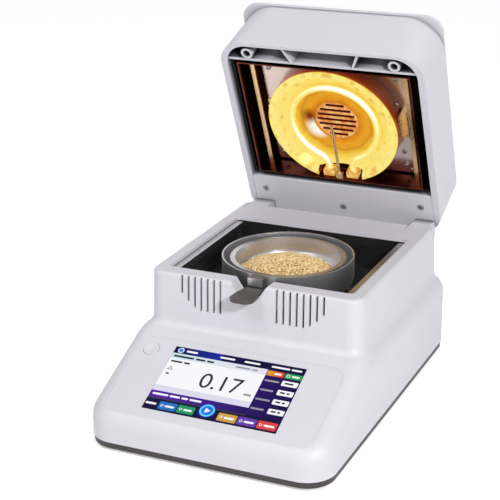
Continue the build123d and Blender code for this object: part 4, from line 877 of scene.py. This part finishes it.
# %% Hint bar, bottom keys and the round start key
screen_box(0, 342, column_left, 392, 2, violet)
screen_box(column_left, 392, 800, 400, 2, night)
word_bars(16, 358, (96, 62, 40, 72), 14, 3, white)
screen_box(0, 400, 800, 480, 2, night)
word_bars(6, 430, (66,), 15, 3, white)
bottom_keys = ((88, 196, blue), (202, 304, leaf), (444, 556, gold), (562, 672, purple), (678, 792, red))
for x0, x1, finish in bottom_keys:
    screen_box(x0, 412, x1, 468, 3, finish, corner=8)
    word_bars(x0 + 38, 434, (x1 - x0 - 52,), 14, 4, white)
    screen_disc(x0 + 20, 440, 9, 4, white)
    screen_disc(x0 + 20, 440, 5.5, 5, finish)
for radius, layer, finish in ((50, 4, halo), (43, 5, cyan), (33, 6, azure)):
    screen_disc(372, 416, radius, layer, finish)
screen_polygon([(360, 398), (392, 416), (360, 434)], 7, white)
new_piece(
    "screen_picture",
    screen_shapes["points"],
    screen_shapes["faces"],
    screen_finishes,
    "base",
    indices=screen_shapes["finish"],
    place=panel_place,
)
print("screen areas:", len(screen_shapes["faces"]))

# %% [markdown]
# ## The reading
# Digits have curves that are tedious to draw as polygons. A text object has them ready, and
# lies on the picture like the other shapes.

# %% The reading
reading_left, reading_foot = 238, 264
reading_curve = bpy.data.curves.new("screen_reading", "FONT")
reading_curve.body = "0.17"
reading_curve.size = 156 * screen_pixel
reading_curve.space_character = 0.96
reading_curve.materials.append(screen_finishes[ink])
reading = bpy.data.objects.new("screen_reading", reading_curve)
bpy.context.collection.objects.link(reading)
reading.matrix_world = panel_place @ Matrix.Translation(
    (
        (screen_left + reading_left) * screen_pixel,
        (screen_top - reading_foot) * screen_pixel,
        3 * layer_step,
    )
)
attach(reading, "base")
print("reading:", reading_curve.body)

# %% [markdown]
# ## Screw heads
# Countersunk screws hold the strip at the lid's hinge side, and pan-head screws hold the
# sheets of the heater. From above, each shows a ring of bright metal round a dark cross.
# A head is turned from a profile, and the shade inside its cross recess is painted as a flat
# dark cross laid just over it.

# %% Screw heads
# Painted shade: a flat near-black cross stands for the shadow inside each screw's recess.
recess_painted_shade = moulded_plastic("shaded_recess", "101010", "181818", 0.7)
head_sides = 24
recess_lift = 0.03


def head_profile(radius, rise):
    """Radius and height of the rings of a domed head, from its foot to its flat middle."""
    return [(radius, 0.0), (radius, rise * 0.45), (radius * 0.85, rise * 0.85), (radius * 0.45, rise)]


def cross_outline(arm, width):
    """The twelve corners of a cross recess."""
    corners = []
    for quarter in range(4):
        c, q = (1, 0, -1, 0)[quarter], (0, 1, 0, -1)[quarter]
        for x, y in ((arm, -width), (arm, width), (width, width)):
            corners.append((x * c - y * q, x * q + y * c))
    return corners


def screw_head(points, faces, indices, place, radius, rise):
    """Adds a domed head with a flat cross of painted shade for its recess, in millimetres, at a place matrix."""
    first = len(points)
    rings = head_profile(radius, rise)
    for ring_radius, height in rings:
        for step in range(head_sides):
            a = 2 * math.pi * step / head_sides
            ring_point = Vector((ring_radius * math.cos(a), ring_radius * math.sin(a), -height))
            points.append(place @ (ring_point * MM))
    for ring in range(len(rings) - 1):
        for step in range(head_sides):
            low = first + ring * head_sides
            following = (step + 1) % head_sides
            faces.append([low + step, low + head_sides + step, low + head_sides + following, low + following])
            indices.append(0)
    faces.append([first + (len(rings) - 1) * head_sides + step for step in range(head_sides)])
    indices.append(0)
    first = len(points)
    outline = cross_outline(radius * 0.55, radius * 0.14)
    for x, y in outline:
        points.append(place @ (Vector((x, y, -(rise + recess_lift))) * MM))
    faces.append(list(range(first, first + len(outline))))
    indices.append(1)


strip_screws = [(-71.5, -13.0), (71.5, -13.0), (0.0, -24.0)]
sheet_screws = [
    (-48.8, 10.5, 20), (60.0, 10.5, 20), (53.5, 79, 20), (55.5, 30, 20), (-56, 16, 18.8),
    (56, 16, 18.8), (-56, 106, 18.8), (56, 106, 18.8),
]
points, faces, indices = [], [], []
for x, along in strip_screws:
    screw_head(points, faces, indices, lid_matrix(x, along, 0.0), 2.7, 0.12)
for x, along, depth in sheet_screws:
    screw_head(points, faces, indices, lid_matrix(x, along, depth), 2.1, 0.9)
new_piece(
    "lid_screw_heads", points, faces, [zinc_steel, recess_painted_shade], "lid", indices=indices
)
print("screw heads:", len(strip_screws) + len(sheet_screws))

# %% [markdown]
# ## Surround
# The object stands in an even white surround, like a studio tent. What the camera and the
# reflections see is pure white, while the light it casts is only half as strong, so that
# the lamps can still draw shadows.

# %% Surround
SURROUND_STRENGTH = 0.5
world = bpy.data.worlds.new("white_surround")
bpy.context.scene.world = world
world.use_nodes = True
sky_tree = world.node_tree
sky_tree.nodes.clear()


def ray_is(tree, *kinds):
    """1 for rays of any of the kinds, else 0."""
    rays = add(tree, "ShaderNodeLightPath").outputs
    share = rays[kinds[0]]
    for kind in kinds[1:]:
        share = add(tree, "ShaderNodeMath", {0: share, 1: rays[kind]}, operation="MAXIMUM").outputs[0]
    return share


seen = ray_is(sky_tree, "Is Camera Ray", "Is Glossy Ray", "Is Transmission Ray")
surround = add(sky_tree, "ShaderNodeBackground", {"Color": colour("F0F0F2"), "Strength": SURROUND_STRENGTH})
backdrop = add(sky_tree, "ShaderNodeBackground", {"Color": colour("FFFFFF"), "Strength": 1.0})
sky_mix = add(sky_tree, "ShaderNodeMixShader", {0: seen, 1: surround, 2: backdrop})
add(sky_tree, "ShaderNodeOutputWorld", {"Surface": sky_mix})
print("surround strength:", SURROUND_STRENGTH)

# %% [markdown]
# ## Lamps
# A small key lamp at the right front, about thirty degrees up, throws the tab's crisp
# shadow to its lower left. A large weak lamp from the front fills the strip below the lid,
# which the lid itself keeps in the shade.


# %% Lamps
def studio_lamp(name, position, aim, size, watts):
    """A round area lamp that points at a place."""
    data = bpy.data.lights.new(name, "AREA")
    data.shape = "DISK"
    data.size = size
    data.energy = watts
    lamp = bpy.data.objects.new(name, data)
    bpy.context.collection.objects.link(lamp)
    direction = Vector(aim) - Vector(position)
    lamp.matrix_world = Matrix.Translation(position) @ direction.to_track_quat("-Z", "Y").to_matrix().to_4x4()
    return lamp


deck_height = (0, 0, 0.1)
studio_lamp("key_lamp", (1.25, -1.15, 1.1), deck_height, 0.2, 24.0)
studio_lamp("top_lamp", (-0.5, -1.0, 1.5), deck_height, 1.0, 9.0)

# %% [markdown]
# ## Floor
# The floor is a white paper sweep. A photographer lights it until it burns out to plain
# white and only the shadows stay. It gets a little emission for that, which only the camera
# and reflections see, so that it doesn't light the object from below.

# %% Floor
FLOOR_REACH = 6.0
FLOOR_GLOW = 0.46
floor_mesh = bpy.data.meshes.new("floor")
floor_corners = [(x * FLOOR_REACH, y * FLOOR_REACH, 0) for x, y in ((-1, -1), (1, -1), (1, 1), (-1, 1))]
floor_mesh.from_pydata(floor_corners, [], [[0, 1, 2, 3]])
floor = bpy.data.objects.new("floor", floor_mesh)
bpy.context.collection.objects.link(floor)
white_sweep, floor_tree, floor_shader = new_finish("white_sweep")
two_tones(floor_tree, floor_shader, "F4F4F6", "F8F8FA", grain_noise(floor_tree, 3.0))
set_inputs(floor_shader, Roughness=0.9)
floor_seen = ray_is(floor_tree, "Is Camera Ray", "Is Glossy Ray")
faint = add(floor_tree, "ShaderNodeMath", {0: floor_seen, 1: FLOOR_GLOW}, operation="MULTIPLY")
floor_glow = add(floor_tree, "ShaderNodeEmission", {"Color": colour("FFFFFF"), "Strength": faint})
floor_sum = add(floor_tree, "ShaderNodeAddShader", {0: floor_shader, 1: floor_glow})
floor_tree.links.new(floor_sum.outputs[0], floor_tree.nodes["Material Output"].inputs["Surface"])
floor_mesh.materials.append(white_sweep)
bpy.context.scene.view_settings.view_transform = "Standard"
print("floor reach in m:", FLOOR_REACH)
